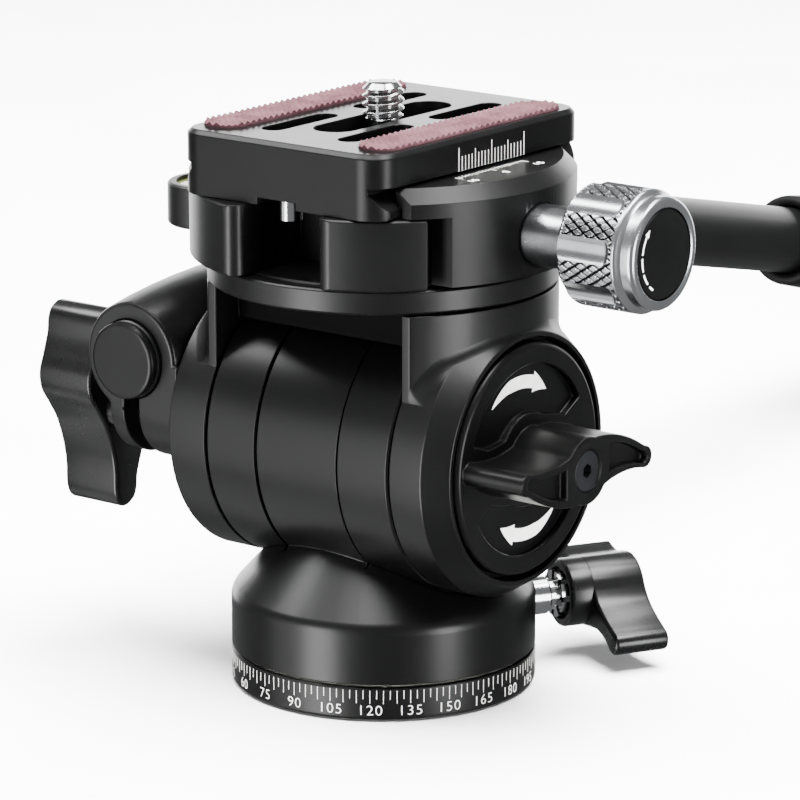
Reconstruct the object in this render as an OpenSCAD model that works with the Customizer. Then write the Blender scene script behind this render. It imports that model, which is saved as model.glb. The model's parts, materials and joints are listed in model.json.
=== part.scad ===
// Fluid video head: pan base, fluid tilt drum, tilting yoke, quick-release clamp
// and a bent pan bar. Millimetres. The origin is the centre of the tripod face,
// +Z is up, +X runs along the tilt axis to the tilt lock, +Y to the operator.

/* [Base and pan] */
// Radius of the base and of the pan housing
base_r = 23.5; // [22.5:0.1:25]
// Height of the fixed index ring
ring_h = 5.2; // [4.6:0.1:6]
// Open seam between the index ring and the pan housing
pan_seam = 0.4; // [0.3:0.05:0.6]
// Height of the pan housing's upright wall
wall_h = 7.4; // [7:0.1:8]
// Radius of the rounded shoulder on the pan housing
shoulder_r = 3; // [2:0.1:3.5]
// Slope of the neck cone above the shoulder, from level
cone_slope = 48; // [46:0.5:50]
// Radius of the 3/8 inch tripod thread
tripod_r = 4.7625; // [3.175:0.0125:4.7625]
// Radius of the steel thread bush
bush_r = 8; // [7:0.1:8.4]
// Radius of the thread bush's flange
bush_flange_r = 10.2; // [9.5:0.1:10.4]
// Thickness of the thread bush's flange
bush_flange_h = 2; // [1.5:0.1:2.5]
// Radius of the pan spindle's flange
spindle_flange_r = 15; // [14.6:0.1:15.6]
// Height of the pan spindle's flange
spindle_flange_h = 7; // [6.6:0.1:7.4]
// Radius of the pan spindle
spindle_r = 7; // [6.6:0.1:7.4]
// Radius of the circle of the base screws
base_screw_circle = 12.4; // [12.2:0.1:12.8]
// Number of base screws
base_screw_count = 3; // [3:1:4]
// Wall of the pan bush
pan_bush_wall = 2; // [1.5:0.1:2.2]
// Length of the pan bush
pan_bush_len = 7.4; // [7:0.1:7.6]
// Height of the pan nut
pan_nut_h = 3.2; // [2.6:0.1:3.3]

/* [Tilt drum] */
// Height of the tilt axis above the tripod face
tilt_z = 38.85; // [38.5:0.05:40]
// Radius of the tilt drum and of the yoke's bosses
drum_r = 21.6; // [21:0.1:21.8]
// Half the length of the drum
drum_half = 17.4; // [17:0.1:18]
// Half the length of the drum's middle section
middle_half = 8; // [7.5:0.1:8.5]
// Width of the left groove round the drum
groove_left_w = 0.55; // [0.3:0.05:0.8]
// Width of the right groove round the drum
groove_right_w = 0.25; // [0.2:0.05:0.5]
// Depth of both grooves
groove_depth = 0.7; // [0.4:0.1:1]
// Radius of the fluid chamber
chamber_r = 12.4; // [11.5:0.1:12.5]
// Radius of the tilt axle
axle_r = 5; // [4.6:0.1:5.2]
// Wall of the tilt bushes
tilt_bush_wall = 2; // [1.5:0.1:2.5]
// Thickness of the damper discs
damper_disc_t = 1.7; // [1.2:0.1:1.8]
// Spacing from one damper disc to the next
damper_pitch = 2; // [1.9:0.05:2.1]
// Length of the drum caps' spigots
cap_spigot = 2; // [1:0.1:2.2]

/* [Yoke and platform] */
// Gap between the drum and the yoke's arms
arm_gap = 0.3; // [0.3:0.05:0.6]
// Radius of the round column that the yoke and the platform are cut from
yoke_r = 26.7; // [26.2:0.1:27]
// Half the width of the arms
arm_half_y = 18.55; // [17.5:0.05:19.5]
// How far the left boss stands out from the tilt axis centre
left_boss_x = 24.7; // [24.4:0.1:25.4]
// How far the right boss stands out from the tilt axis centre
right_boss_x = 27.2; // [27:0.1:28]
// Length of the cone on the right boss
boss_cone_len = 3.7; // [2:0.1:4]
// Radius of the right boss's outer edge
boss_edge_r = 19.3; // [19.1:0.1:20]
// Radius of the recess for the tilt lock
lock_recess_r = 18.55; // [18.3:0.05:18.8]
// Depth of the recess for the tilt lock
lock_recess_d = 3; // [2.5:0.1:3.4]
// Gap between the drum and the bridge of the yoke
bridge_gap = 0.4; // [0.3:0.05:0.8]
// Thickness of the bridge over the drum
bridge_t = 2.15; // [2:0.05:3]
// Half the width of the bridge
bridge_half_y = 13; // [11:0.5:15]
// Height of the shadow line under the platform disc
shadow_h = 0.2; // [0.2:0.05:0.5]
// Thickness of the platform disc
platform_h = 3.7; // [3.4:0.1:4.2]
// Height of the shadow line over the platform disc
clamp_shadow_h = 0.3; // [0.2:0.05:0.5]

/* [Quick-release clamp] */
// Radius of the clamp body
clamp_r = 29.3; // [28.8:0.1:30]
// Height of the clamp body up to the plate's seat
clamp_h = 10.7; // [10.4:0.1:11.5]
// Left side of the notches at the clamp's ends
notch_left_x = -5.6; // [-6.5:0.1:-5]
// Right side of the notches at the clamp's ends
notch_right_x = 8.4; // [7.5:0.1:9]
// Distance of the notches' inner ends from the middle
notch_end_y = 13; // [12:0.5:14]
// Rounding of the notches' outer corners
notch_round = 2; // [1:0.1:2.2]
// Inner face of the gap for the moving jaw
jaw_gap_x = 20.5; // [20:0.1:21]
// Half the width of the gap for the moving jaw
jaw_gap_half = 18.6; // [17.5:0.1:19]
// Half the width of the moving jaw's block
jaw_block_half = 15.6; // [14.5:0.1:16.5]
// Half the length of the jaws' lips
lip_half_y = 20.5; // [19.8:0.1:21]
// Height of the jaws' lips above the plate's seat
lip_h = 4.4; // [4.2:0.1:4.6]
// Bevel on the lips' outer edge
lip_bevel = 2.1; // [1:0.1:2.4]
// Full travel of the moving jaw
jaw_travel = 4.5; // [3:0.5:4.5]
// Height of the clamp knob's axis above the clamp's underside
knob_axis_h = 6.3; // [5.8:0.1:6.6]
// Radius of the clamp screw
stud_r = 3; // [2.5:0.1:3.2]
// Radius of the jaw's guide pins
pin_r = 1.5; // [1:0.1:1.8]
// Distance of the guide pins from the clamp screw
pin_y = 8; // [7:0.5:9]
// Distance of the bubble level from the middle
level_x = 33; // [32.5:0.1:34]
// Outer radius of the bubble level's housing
level_r = 7.5; // [7:0.1:8]
// Wall of the bubble level's housing
level_wall = 1.4; // [1:0.1:1.8]
// Height of the bubble level's housing
level_h = 6.7; // [6:0.1:7.5]

/* [Clamp knob] */
// Radius of the knob's collar
collar_r = 4.6; // [4.2:0.1:5]
// Where the knob's grip starts along the tilt axis direction
knob_start_x = 38.3; // [37:0.1:40]
// Length of the knob's knurled grip
knob_grip_len = 10.6; // [9:0.1:12]
// Length of the ring at the knob's front
knob_front_len = 2.6; // [2:0.1:3]
// Radius of the knob's grip
knob_r = 9.2; // [8.8:0.1:9.8]
// Radius of the ring at the knob's front
knob_front_r = 8.4; // [8:0.1:8.6]
// Radius of the inset disc in the knob
knob_disc_r = 6.7; // [6:0.1:7]
// Number of smooth flutes in the knob
flute_count = 8; // [6:1:9]
// Radius of the flutes
flute_r = 3.2; // [2.5:0.1:4]
// Depth of the flutes
flute_depth = 0.75; // [0.4:0.05:1]

/* [Quick-release plate] */
// Width of the plate across the dovetail
plate_w = 38.5; // [38.5:0.1:39.5]
// Length of the plate
plate_l = 51.3; // [50.5:0.1:54]
// Height of the plate
plate_h = 9.8; // [9.4:0.1:10.4]
// Rounding of the plate's corners
plate_corner = 4.5; // [3:0.1:5]
// Chamfer round the plate's top
plate_edge = 0.7; // [0.3:0.1:0.9]
// Half the width of the dovetail's foot
foot_half = 19; // [18.8:0.05:19.1]
// Half the width of the dovetail's waist
waist_half = 16.6; // [16.4:0.05:16.9]
// Height of the dovetail foot's upright edge
foot_h = 1.45; // [1.2:0.05:1.6]
// Height of the dovetail's groove top above the plate's underside
groove_top_h = 4.75; // [4.6:0.05:5.1]
// Half the width of the long screw slot
slot_half = 3.4; // [3.3:0.05:3.6]
// Half the length of the long screw slot
slot_half_l = 14.8; // [13.5:0.1:15]
// Half the width of the short slots
short_slot_half = 1.8; // [1.4:0.1:2]
// Length of the short slots
short_slot_l = 16; // [14:0.5:16.5]
// Distance of the short slots from the plate's centre line
short_slot_x = 7.2; // [7:0.1:7.8]
// Distance of the short slots' middles from the plate's middle
short_slot_y = 11; // [10:0.1:12]
// Radius of the camera screw's head
screw_head_r = 6.4; // [6:0.1:6.5]
// Height of the camera screw's head
screw_head_h = 2.6; // [2:0.1:2.8]
// Radius of the 1/4 inch camera thread
camera_r = 3.175; // [3:0.025:3.2]
// Radius of the camera screw's neck below its thread
camera_neck_r = 2.6; // [2.3:0.1:2.8]
// How far the camera screw stands above the plate
camera_proud = 5.3; // [4.5:0.1:5.5]
// Distance of the plate's stop screws from the plate's middle
stop_y = 22.2; // [21.8:0.1:22.4]
// Radius of the plate's stop screws
stop_r = 1.75; // [1.5:0.05:1.9]
// How far the stop screws hang below the plate
stop_drop = 2.2; // [1.5:0.1:3]
// Half the width of the groove along the plate's underside
under_groove_half = 3.6; // [3:0.1:4]
// Depth of the groove along the plate's underside
under_groove_d = 1.1; // [0.8:0.1:1.4]
// Width of the rubber pads
pad_w = 6.8; // [6:0.1:7]
// Length of the rubber pads
pad_l = 45; // [42:0.5:46]
// Distance of the rubber pads from the plate's centre line
pad_x = 14.6; // [14.4:0.1:14.8]
// How far the rubber pads stand above the plate
pad_proud = 1; // [0.6:0.1:1.4]
// Depth of the pads' seats
pad_seat = 0.5; // [0.3:0.1:0.8]

/* [Tilt lock] */
// Radius of the lock's disc
lock_disc_r = 17.8; // [17.4:0.1:18]
// Thickness of the lock's disc
lock_disc_t = 2.9; // [2.6:0.1:3.4]
// Length of the lock's wing along the tilt axis
lock_wing_h = 10.8; // [9:0.1:12]
// Half the span of the lock's wing
lock_wing_l = 15; // [13:0.1:15.5]
// Radius of the lock's hub
lock_hub_r = 5.2; // [4.8:0.1:5.6]
// Depth of the hollows in the lock's disc
hollow_d = 1.2; // [0.6:0.1:1.5]
// Outer radius of the hollows in the lock's disc
hollow_r = 14.6; // [13.5:0.1:15.2]
// Radius of the pressure ring in the right arm
press_ring_r = 13; // [11:0.1:14]
// Thickness of the pressure ring
press_ring_t = 2.2; // [1.8:0.1:2.4]
// Thickness of the friction lining on the pressure ring
lining_t = 0.8; // [0.5:0.1:1]
// Travel of the pressure ring
press_travel = 0.4; // [0.2:0.05:0.4]

/* [Pan lock] */
// Direction of the pan lock, from the tilt axis
pan_lock_angle = 60; // [55:1:65]
// Height of the pan lock's axis above the tripod face
pan_lock_z = 9.5; // [9.3:0.1:9.8]
// Radius of the pan lock's screw
pan_stud_r = 2.5; // [2:0.1:2.6]
// Radius of the collar on the pan lock's screw
pan_collar_r = 3; // [2.8:0.1:3.2]
// Length of the collar on the pan lock's screw
pan_collar_len = 3.6; // [3:0.1:4]
// Where the lever's hub starts, from the pan axis
pan_hub_start = 29.7; // [29.5:0.1:31]
// Length of the lever's hub
pan_hub_len = 12.6; // [12:0.1:14]
// Length of the lever's wing
pan_wing_len = 9.2; // [8:0.1:9.6]
// Radius of the lever's hub
pan_hub_r = 5.4; // [5:0.1:5.8]
// Length of the lever's long arm
pan_arm_l = 14.2; // [12:0.1:15]
// Length of the lever's short arm
pan_stub_l = 7.4; // [6:0.1:8]
// Droop of the lever's long arm
pan_arm_droop = 22; // [15:1:25]
// Travel of the pan brake shoe
shoe_travel = 0.27; // [0.1:0.01:0.3]

/* [Pan bar] */
// Distance of the pan bar from the middle
bar_x = 34; // [33.8:0.1:35]
// Height of the pan bar's socket above the tripod face
bar_z = 48.9; // [48.5:0.1:50]
// Radius of the pan bar
bar_r = 6.1; // [5.8:0.05:6.3]
// Wall of the pan bar's tube
bar_wall = 1.5; // [1:0.1:2]
// Where the pan bar bends, from the tilt axis
bar_bend_y = 104; // [90:1:110]
// Droop of the pan bar behind its bend
bar_droop = 12.5; // [10:0.5:13]
// Length of the bare bar behind the bend
bar_bare_len = 63.5; // [55:0.5:66]
// Length of the grip
grip_l = 98; // [80:1:100]
// Radius of the grip at its mouth
grip_mouth_r = 8.4; // [8:0.1:9]
// Radius of the grip where it is thickest
grip_r = 10.4; // [9.5:0.1:10.8]
// Front face of the bar's socket
socket_front_y = -19.6; // [-20:0.1:-19]
// Rear face of the bar's socket
socket_rear_y = 22; // [20:0.5:24]
// Radius of the socket at its front face
socket_front_r = 8.7; // [8.4:0.1:9]
// Radius of the socket where it is thickest
socket_r = 11.3; // [10.8:0.1:11.6]
// Where the socket is thickest, from the tilt axis
socket_belly_y = 8; // [6:0.5:10]
// Width of the split in the socket
split_w = 2.9; // [2:0.1:3]
// Outer face of the socket's left ear, from the bar's axis
ear_x = 4.3; // [4.1:0.1:4.8]
// Underside of the socket's ears, below the bar's axis
ear_drop = 16.5; // [16:0.1:17]
// Rounding of the ears' lower front edge
ear_round = 8.5; // [6:0.1:9]
// Rear end of the ears, from the tilt axis
ear_rear_y = 3; // [2:0.1:5]
// Distance of the wing screw's axis behind the tilt axis
wing_y = -8; // [-8.5:0.1:-7]
// Height of the wing screw's axis below the bar's axis
wing_drop = 12.2; // [11.8:0.1:12.4]
// Radius of the wing screw
wing_stud_r = 2; // [1.75:0.05:2.1]
// Radius of the wing's neck
wing_hub_r = 3.1; // [2.9:0.05:3.15]
// Half the thickness of the wing at its screw
wing_core_r = 4.6; // [4.2:0.1:4.8]
// Length of the wing's neck
wing_hub_len = 8.3; // [7.8:0.1:8.8]
// Width of the wing along its screw
wing_w = 11; // [10:0.1:12]
// Half the span of the wing, to the middle of its round tip
wing_l = 13.9; // [12.5:0.1:14]

/* [Hidden] */
$fn = 96;

// Clearances: parts that stay put, parts that run, and parts that pass freely
fit = 0.02;
run = 0.05;
free = 0.4;
// Small chamfer on turned edges, and the length by which cuts overshoot
edge = 0.35;
over = 1;

anodised = "#1d1d20";
moulded = "#161617";
steel = "#b9bcc0";
silver = "#d6d8db";
bronze = "#a87b45";
polymer = "#e4e1d8";
mauve = "#a4757d";
rubber = "#202022";

// Levels of the pan stack
seam_z = ring_h + pan_seam;
wall_top_z = seam_z + wall_h;
flange_top_z = ring_h + spindle_flange_h;
cavity_z = flange_top_z + free;
pan_bush_r = spindle_r + pan_bush_wall;
pan_bush_top_z = cavity_z + pan_bush_len;
pan_flange_h = 0.6;
pan_flange_r = pan_bush_r + 0.9;
nut_room_r = pan_flange_r + free;
nut_seat_z = pan_bush_top_z + pan_flange_h + run;
washer_h = 0.6;
spindle_thread_r = spindle_r - 1;
spindle_top_z = nut_seat_z + washer_h + pan_nut_h + 0.3;
shoulder_x = base_r - shoulder_r;
cone_foot = [shoulder_x + shoulder_r * sin(cone_slope), wall_top_z + shoulder_r * cos(cone_slope)];
cone_top_r = 12;
cone_top_z = cone_foot[1] + (cone_foot[0] - cone_top_r) * tan(cone_slope);
base_screw_r = 1.5;
base_screw_head_r = 2.8;
base_screw_head_h = 1.6;
screw_sink = 0.25;
screw_room = 0.3;
// The base screws bite two thirds of the spindle's flange
base_screw_l = ring_h + spindle_flange_h * 0.65;

// Places along the tilt axis
arm_x = drum_half + arm_gap;
axle_left_x = left_boss_x - 3.2;
bolt_head_r = 6.6;
bolt_shank_r = 2.5;
tilt_bush_r = axle_r + tilt_bush_wall;
tilt_bush_len = 7;
spigot_x = middle_half - cap_spigot;
drum_screw_circle = (chamber_r + drum_r) / 2;
drum_screw_r = 1.25;
drum_screw_head_r = 2.3;
drum_screw_depth = 5;
// Length of a drum screw from its head to its bite in the middle section
drum_screw_l = drum_half - middle_half + drum_screw_depth;
axle_thread_r = axle_r - 2;
lock_floor_x = right_boss_x - lock_recess_d;
lock_disc_x = lock_floor_x + 0.5;
lock_face_x = lock_disc_x + lock_disc_t;
lock_top_x = lock_face_x + lock_wing_h;
press_hub_r = axle_r + 2.5;
press_x = drum_half + fit;
press_back_x = press_x + lining_t + press_ring_t;
press_hub_x = lock_disc_x - press_travel - 0.2;
axle_end_x = lock_face_x + 4;
lock_nut_r = axle_thread_r + 1.3;
lock_nut_flange_r = 6.4;
lock_nut_flange_t = 1.6;
lock_nut_wall = 2;
lock_nut_len = axle_end_x + lock_nut_wall - lock_disc_x;
lock_screw_r = 1.5;
lock_screw_head_r = 3.2;
lock_screw_head_h = 1.8;
lock_bend = 4.6;
lock_curl = -5.6;
lock_root = 4.7;
lock_tip = 1.7;
hollow_land = 2;
wing_foot = 1.5;
wing_pocket_d = 1.2;
pocket_short = 0.6;
pocket_rim = 1.6;
pocket_from = 0.38;
knob_chamfer = 0.6;
// The screw ends in the nut's closed end, clear of the axle
lock_screw_l = lock_top_x - screw_sink - axle_end_x - free - screw_room;

// Levels above the drum
bridge_z = tilt_z + drum_r + bridge_gap;
yoke_top_z = bridge_z + bridge_t;
yoke_pad_r = yoke_r - 1.2;
platform_z = yoke_top_z + shadow_h;
platform_top_z = platform_z + platform_h;
clamp_z = platform_top_z + clamp_shadow_h;
seat_z = clamp_z + clamp_h;
clamp_pad_r = yoke_r - 2.5;
platform_screw_x = 20;
platform_screw_y = 8;
platform_screw_r = 1.5;
platform_screw_head_r = 2.8;
platform_screw_l = 8;
clamp_screw_x = 14;
clamp_screw_y = 20;
clamp_screw_r = 1.5;
clamp_screw_head_r = 2.75;
clamp_screw_seat_h = 4;
clamp_screw_bite = 2.4;
clamp_screw_l = clamp_screw_seat_h + clamp_shadow_h + clamp_screw_bite;
clamp_screw_head_h = 3;

// Clamp and plate heights
plate_gap = 0.05;
plate_z = seat_z + plate_gap;
plate_top_z = plate_z + plate_h;
dove_gap = 0.3;
dove_slack = 0.1;
lip_top_z = seat_z + lip_h;
lip_tip_x = waist_half + dove_gap;
lip_root_x = foot_half + dove_gap;
slope_sum = foot_half + plate_z + foot_h + dove_slack;
web_drop = 0.5;
lip_chamfer = 0.9;
knob_z = clamp_z + knob_axis_h;
jaw_z = clamp_z + free;
jaw_lip_z = seat_z + 0.1;
jaw_in_x = jaw_gap_x + free;
stud_end_x = notch_right_x + 2.2;
pin_start_x = notch_right_x + 3;
// The pins stay in the jaw when it is fully open
pin_hold = 0.9;
pin_end_x = jaw_in_x + jaw_travel + pin_hold;
pin_room = 0.5;
collar_x = clamp_r - 0.4;
spot_r = collar_r + 0.3;
clip_t = 0.6;
clip_r = stud_r + 1.3;
clip_bite = 0.6;
clip_gap = 1.6;
knob_end_x = knob_start_x + knob_grip_len + knob_front_len;
disc_t = 0.9;
disc_sink = disc_t + 0.2;
stud_root_x = knob_start_x + knob_grip_len - 1;
knob_bevel = 0.8;
level_z = clamp_z;
level_floor = 1.2;
pocket_h = 3.4;
pocket_half = screw_head_r + 0.5;
screw_travel = slot_half_l - slot_half;
pocket_half_l = screw_travel + pocket_half;
clip_z = plate_z + pocket_h - 0.75;
screw_head_z = clip_z - 0.05 - screw_head_h;
pad_z = plate_top_z - pad_seat;
stop_bite = 4;
// The thread starts just above the plate
camera_thread_z = plate_top_z + 0.1;
camera_l = plate_top_z + camera_proud - camera_thread_z;
camera_tip = 0.9;
coin_slot_w = 1.6;
coin_slot_d = 1.2;

// Pan lock along its own axis
shoe_r = pan_stud_r;
shoe_start = spindle_flange_r + run;
shoe_len = 4;
stud_start = shoe_start + shoe_len + shoe_travel + 0.1;
pan_collar_start = base_r + 0.3;
insert_r = 3.7;
insert_start = pan_hub_start - 1;
insert_len = 7;
pan_stud_end = insert_start + insert_len;
pan_wing_start = pan_hub_start + pan_hub_len - pan_wing_len;
pan_bend = 3.4;
pan_root = 4.6;
pan_tip = 1.75;
stub_turn = 4;
mouth_room = 0.5;
mouth_depth = 1.2;
tooth_count = 8;
tooth_root = 0.2;
tooth_w = 0.9;
tooth_depth = 1.3;

// Pan bar
bar_front_y = socket_front_y - 0.6;
plug_t = 1.6;
plug_depth = 8;
bore_gap = run;
socket_rise = (socket_r - socket_front_r) / pow(socket_belly_y - socket_front_y, 2);
ear_left_x = bar_x + ear_x;
ear_z = bar_z - ear_drop;
wing_z = bar_z - wing_drop;
wing_hub_x = ear_left_x + 0.3;
wing_x = wing_hub_x + wing_hub_len;
ear_nut_r = 3.6;
ear_nut_len = 5;
pad_face_x = left_boss_x + fit;
nut_face_x = yoke_r + 0.1;
socket_pad_r = 12.5;
socket_pad_z = tilt_z + 3.5;
socket_screw_at = [[9.4, 0.6], [-9.4, 6]];
socket_screw_r = 1.75;
socket_screw_head_r = 3.3;
socket_screw_l = left_boss_x - arm_x + 2.6;
grip_bore_l = 60;
solid_bend = 10;
grip_plug_t = 3;
grip_swell = 150;
plug_round = 1;
peg_r = 4;
peg_l = 5.5;
wing_bend = 8;
wing_curl = -5.9;
wing_tip = 2.45;
wing_bite = 4;

// Solids of revolution and holes on the three main axes

// Cylinder about the tilt axis from one distance to another
module tilt_rod(r, from, to) {
    translate([from, 0, tilt_z]) rotate([0, 90, 0]) cylinder(r = r, h = to - from);
}

// Cylinder along X at a height and depth
module x_rod(r, from, to, y, z) {
    translate([from, y, z]) rotate([0, 90, 0]) cylinder(r = r, h = to - from);
}

// Stands children up along +X: their x lies along Y, their y along Z
module along_x(y, z) {
    translate([0, y, z]) rotate([90, 0, 90]) children();
}

// The same along the pan lock's own axis
module along_pan_lock() {
    rotate([0, 0, pan_lock_angle]) along_x(0, pan_lock_z) children();
}

// Stands children along the straight front stretch of the pan bar
module along_bar() {
    translate([-bar_x, 0, bar_z]) rotate([-90, 0, 0]) children();
}

// Stands children along the drooping rear stretch of the pan bar
module along_grip() {
    translate([-bar_x, bar_bend_y, bar_z]) rotate([-90 - bar_droop, 0, 0]) children();
}

// Turned disc with a chamfer on both outer edges
module turned(r, h, chamfer = edge) {
    rotate_extrude() polygon([[0, 0], [r - chamfer, 0], [r, chamfer], [r, h - chamfer],
                              [r - chamfer, h], [0, h]]);
}

// Flat ring
module ring(r_in, r_out, h) {
    difference() {
        cylinder(r = r_out, h = h);
        translate([0, 0, -over]) cylinder(r = r_in, h = h + 2 * over);
    }
}

// Countersunk socket screw that points up, with its head's flat at zero
module sunk_screw(head_r, head_h, shank_r, length) {
    difference() {
        union() {
            cylinder(r1 = head_r, r2 = shank_r, h = head_h);
            cylinder(r = shank_r, h = length);
        }
        translate([0, 0, -over]) cylinder(r = shank_r * 0.75, h = over + head_h * 0.7, $fn = 6);
    }
}

// Hole for that screw, with its head sunk a little
module sunk_hole(head_r, head_h, shank_r, length) {
    translate([0, 0, -over]) cylinder(r = head_r + fit, h = over + fit);
    cylinder(r1 = head_r + fit, r2 = shank_r + fit, h = head_h);
    cylinder(r = shank_r + fit, h = length + screw_room);
}

// Socket cap screw that points down, with the underside of its head at zero
module cap_screw(head_r, head_h, shank_r, length) {
    difference() {
        union() {
            cylinder(r = head_r, h = head_h);
            translate([0, 0, -length]) cylinder(r = shank_r, h = length + fit);
        }
        translate([0, 0, head_h * 0.4]) cylinder(r = shank_r * 0.85, h = head_h, $fn = 6);
    }
}

// Straight slot along Y with round ends
module slot(half_w, half_l, h) {
    for (side = [-1, 1]) translate([0, side * (half_l - half_w), 0]) cylinder(r = half_w, h = h);
    translate([-half_w, -(half_l - half_w), 0]) cube([2 * half_w, 2 * (half_l - half_w), h]);
}

// One arm of a wing lever: its middle line leaves the long axis by bend*t + curl*t^2
// and its half-thickness goes from root to tip, ending in a round
module wing_arm(length, bend, curl, root, tip, start = 0) {
    steps = 12;
    places = [for (i = [0 : steps]) start + (1 - start) * i / steps];
    upper = [for (t = places) [length * t, bend * t + curl * t * t + root + (tip - root) * t]];
    lower = [for (i = [steps : -1 : 0]) let (t = places[i])
        [length * t, bend * t + curl * t * t - root - (tip - root) * t]];
    polygon(concat(upper, lower));
    translate([length, bend + curl]) circle(tip);
}

// S-shaped wing with two equal arms and a round hub
module wing_outline(length, bend, curl, root, tip, hub_r) {
    circle(hub_r);
    for (turn = [0, 180]) rotate(turn) wing_arm(length, bend, curl, root, tip);
}

// Places of the repeated fasteners

module base_screw_places() {
    for (i = [0 : base_screw_count - 1])
        rotate(i * 360 / base_screw_count + 30) translate([base_screw_circle, 0, screw_sink]) children();
}

// Screws that hold a drum cap: their heads lie in the cap's outer face
module drum_screw_places(side) {
    for (turn = [0 : 2])
        translate([0, 0, tilt_z]) rotate([turn * 120, 0, 0])
            translate([side * (drum_half - screw_sink), 0, drum_screw_circle])
                rotate([0, -side * 90, 0]) children();
}

module platform_screw_places() {
    for (x = [-1, 1], y = [-1, 1])
        translate([x * platform_screw_x, y * platform_screw_y, platform_top_z - screw_sink])
            rotate([180, 0, 0]) children();
}

module clamp_screw_places() {
    for (x = [-1, 1], y = [-1, 1])
        translate([x * clamp_screw_x, y * clamp_screw_y, clamp_z + clamp_screw_seat_h]) children();
}

module socket_screw_places() {
    for (at = socket_screw_at)
        translate([-arm_x - screw_sink, at[0], tilt_z + at[1]]) rotate([0, -90, 0]) children();
}

// Fixed base

module index_ring() {
    color(anodised) difference() {
        turned(base_r, ring_h);
        translate([0, 0, -over]) cylinder(r = bush_r + fit, h = ring_h + 2 * over);
        base_screw_places() sunk_hole(base_screw_head_r, base_screw_head_h, base_screw_r, ring_h + over);
    }
}

module thread_bush() {
    color(steel) difference() {
        union() {
            cylinder(r = bush_r, h = ring_h + fit);
            translate([0, 0, ring_h]) cylinder(r = bush_flange_r, h = bush_flange_h);
        }
        translate([0, 0, -over]) cylinder(r = tripod_r, h = ring_h + bush_flange_h + 2 * over);
    }
}

module pan_spindle() {
    color(steel) difference() {
        union() {
            translate([0, 0, ring_h]) cylinder(r = spindle_flange_r, h = spindle_flange_h);
            translate([0, 0, ring_h]) cylinder(r = spindle_r, h = nut_seat_z - ring_h);
            translate([0, 0, ring_h]) cylinder(r = spindle_thread_r, h = spindle_top_z - ring_h);
        }
        // Seat of the bush's flange, and room for the tip of the tripod's screw
        translate([0, 0, ring_h - over]) cylinder(r = bush_flange_r + fit, h = over + bush_flange_h + fit);
        translate([0, 0, ring_h]) cylinder(r = tripod_r + free, h = spindle_flange_h + 1);
        base_screw_places() sunk_hole(base_screw_head_r, base_screw_head_h, base_screw_r, base_screw_l);
    }
}

module base_screws() {
    color(steel) base_screw_places()
        sunk_screw(base_screw_head_r, base_screw_head_h, base_screw_r, base_screw_l);
}

module thrust_washer() {
    color(polymer) translate([0, 0, ring_h])
        ring(spindle_flange_r + free + 1, base_r - 1.5, pan_seam - run);
}

module pan_damping_disc() {
    color(polymer) translate([0, 0, flange_top_z])
        ring(pan_bush_r + free, spindle_flange_r - 0.3, free - run);
}

module pan_spring_washer() {
    color(steel) translate([0, 0, nut_seat_z])
        ring(spindle_thread_r + fit, pan_flange_r - 0.3, washer_h);
}

module pan_nut() {
    color(steel) translate([0, 0, nut_seat_z + washer_h]) difference() {
        ring(spindle_thread_r + fit, pan_flange_r - 0.6, pan_nut_h);
        // Wrench slots
        for (turn = [0, 90]) rotate(turn)
            translate([-nut_room_r, -1, pan_nut_h - 1]) cube([2 * nut_room_r, 2, 1 + over]);
    }
}

// Panning housing and drum

module housing_profile() {
    translate([0, seam_z]) square([base_r, wall_h]);
    translate([shoulder_x, wall_top_z]) circle(shoulder_r);
    polygon([[0, seam_z], [shoulder_x, seam_z], [shoulder_x, wall_top_z], cone_foot,
             [cone_top_r, cone_top_z], [0, cone_top_z]]);
}

module pan_housing() {
    color(anodised) difference() {
        union() {
            rotate_extrude() intersection() {
                housing_profile();
                translate([0, seam_z]) square([base_r, cone_top_z]);
            }
            tilt_rod(drum_r, -middle_half, middle_half);
        }
        // Spindle flange, pan bush, nut and fluid chamber
        translate([0, 0, seam_z - over])
            cylinder(r = spindle_flange_r + free, h = cavity_z - seam_z + over);
        translate([0, 0, seam_z]) cylinder(r = pan_bush_r + fit, h = pan_bush_top_z - seam_z + over);
        translate([0, 0, pan_bush_top_z]) cylinder(r = nut_room_r, h = tilt_z - pan_bush_top_z);
        tilt_rod(chamber_r, -middle_half - over, middle_half + over);
        // Seats of the drum caps, and room for the yoke's bosses
        for (side = [0, 180]) rotate(side) {
            tilt_rod(drum_r + fit, middle_half, drum_half + free);
            tilt_rod(drum_r + free, drum_half, right_boss_x + over);
        }
        // Grooves round the drum
        for (cut = [[-1, groove_left_w], [1, groove_right_w]]) translate([cut[0] * middle_half, 0, tilt_z])
            rotate([0, cut[0] * -90, 0]) translate([0, 0, -fit])
                ring(drum_r - groove_depth, drum_r + over, cut[1] + fit);
        for (side = [-1, 1]) drum_screw_places(side)
            sunk_hole(drum_screw_head_r, drum_screw_head_r - drum_screw_r, drum_screw_r, drum_screw_l);
        along_pan_lock() cylinder(r = pan_stud_r + run, h = base_r + over);
    }
}

module pan_bush() {
    color(bronze) difference() {
        union() {
            translate([0, 0, cavity_z]) cylinder(r = pan_bush_r, h = pan_bush_len + fit);
            translate([0, 0, pan_bush_top_z]) cylinder(r = pan_flange_r, h = pan_flange_h);
        }
        translate([0, 0, cavity_z - over])
            cylinder(r = spindle_r + run, h = pan_bush_len + pan_flange_h + 2 * over);
    }
}

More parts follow.
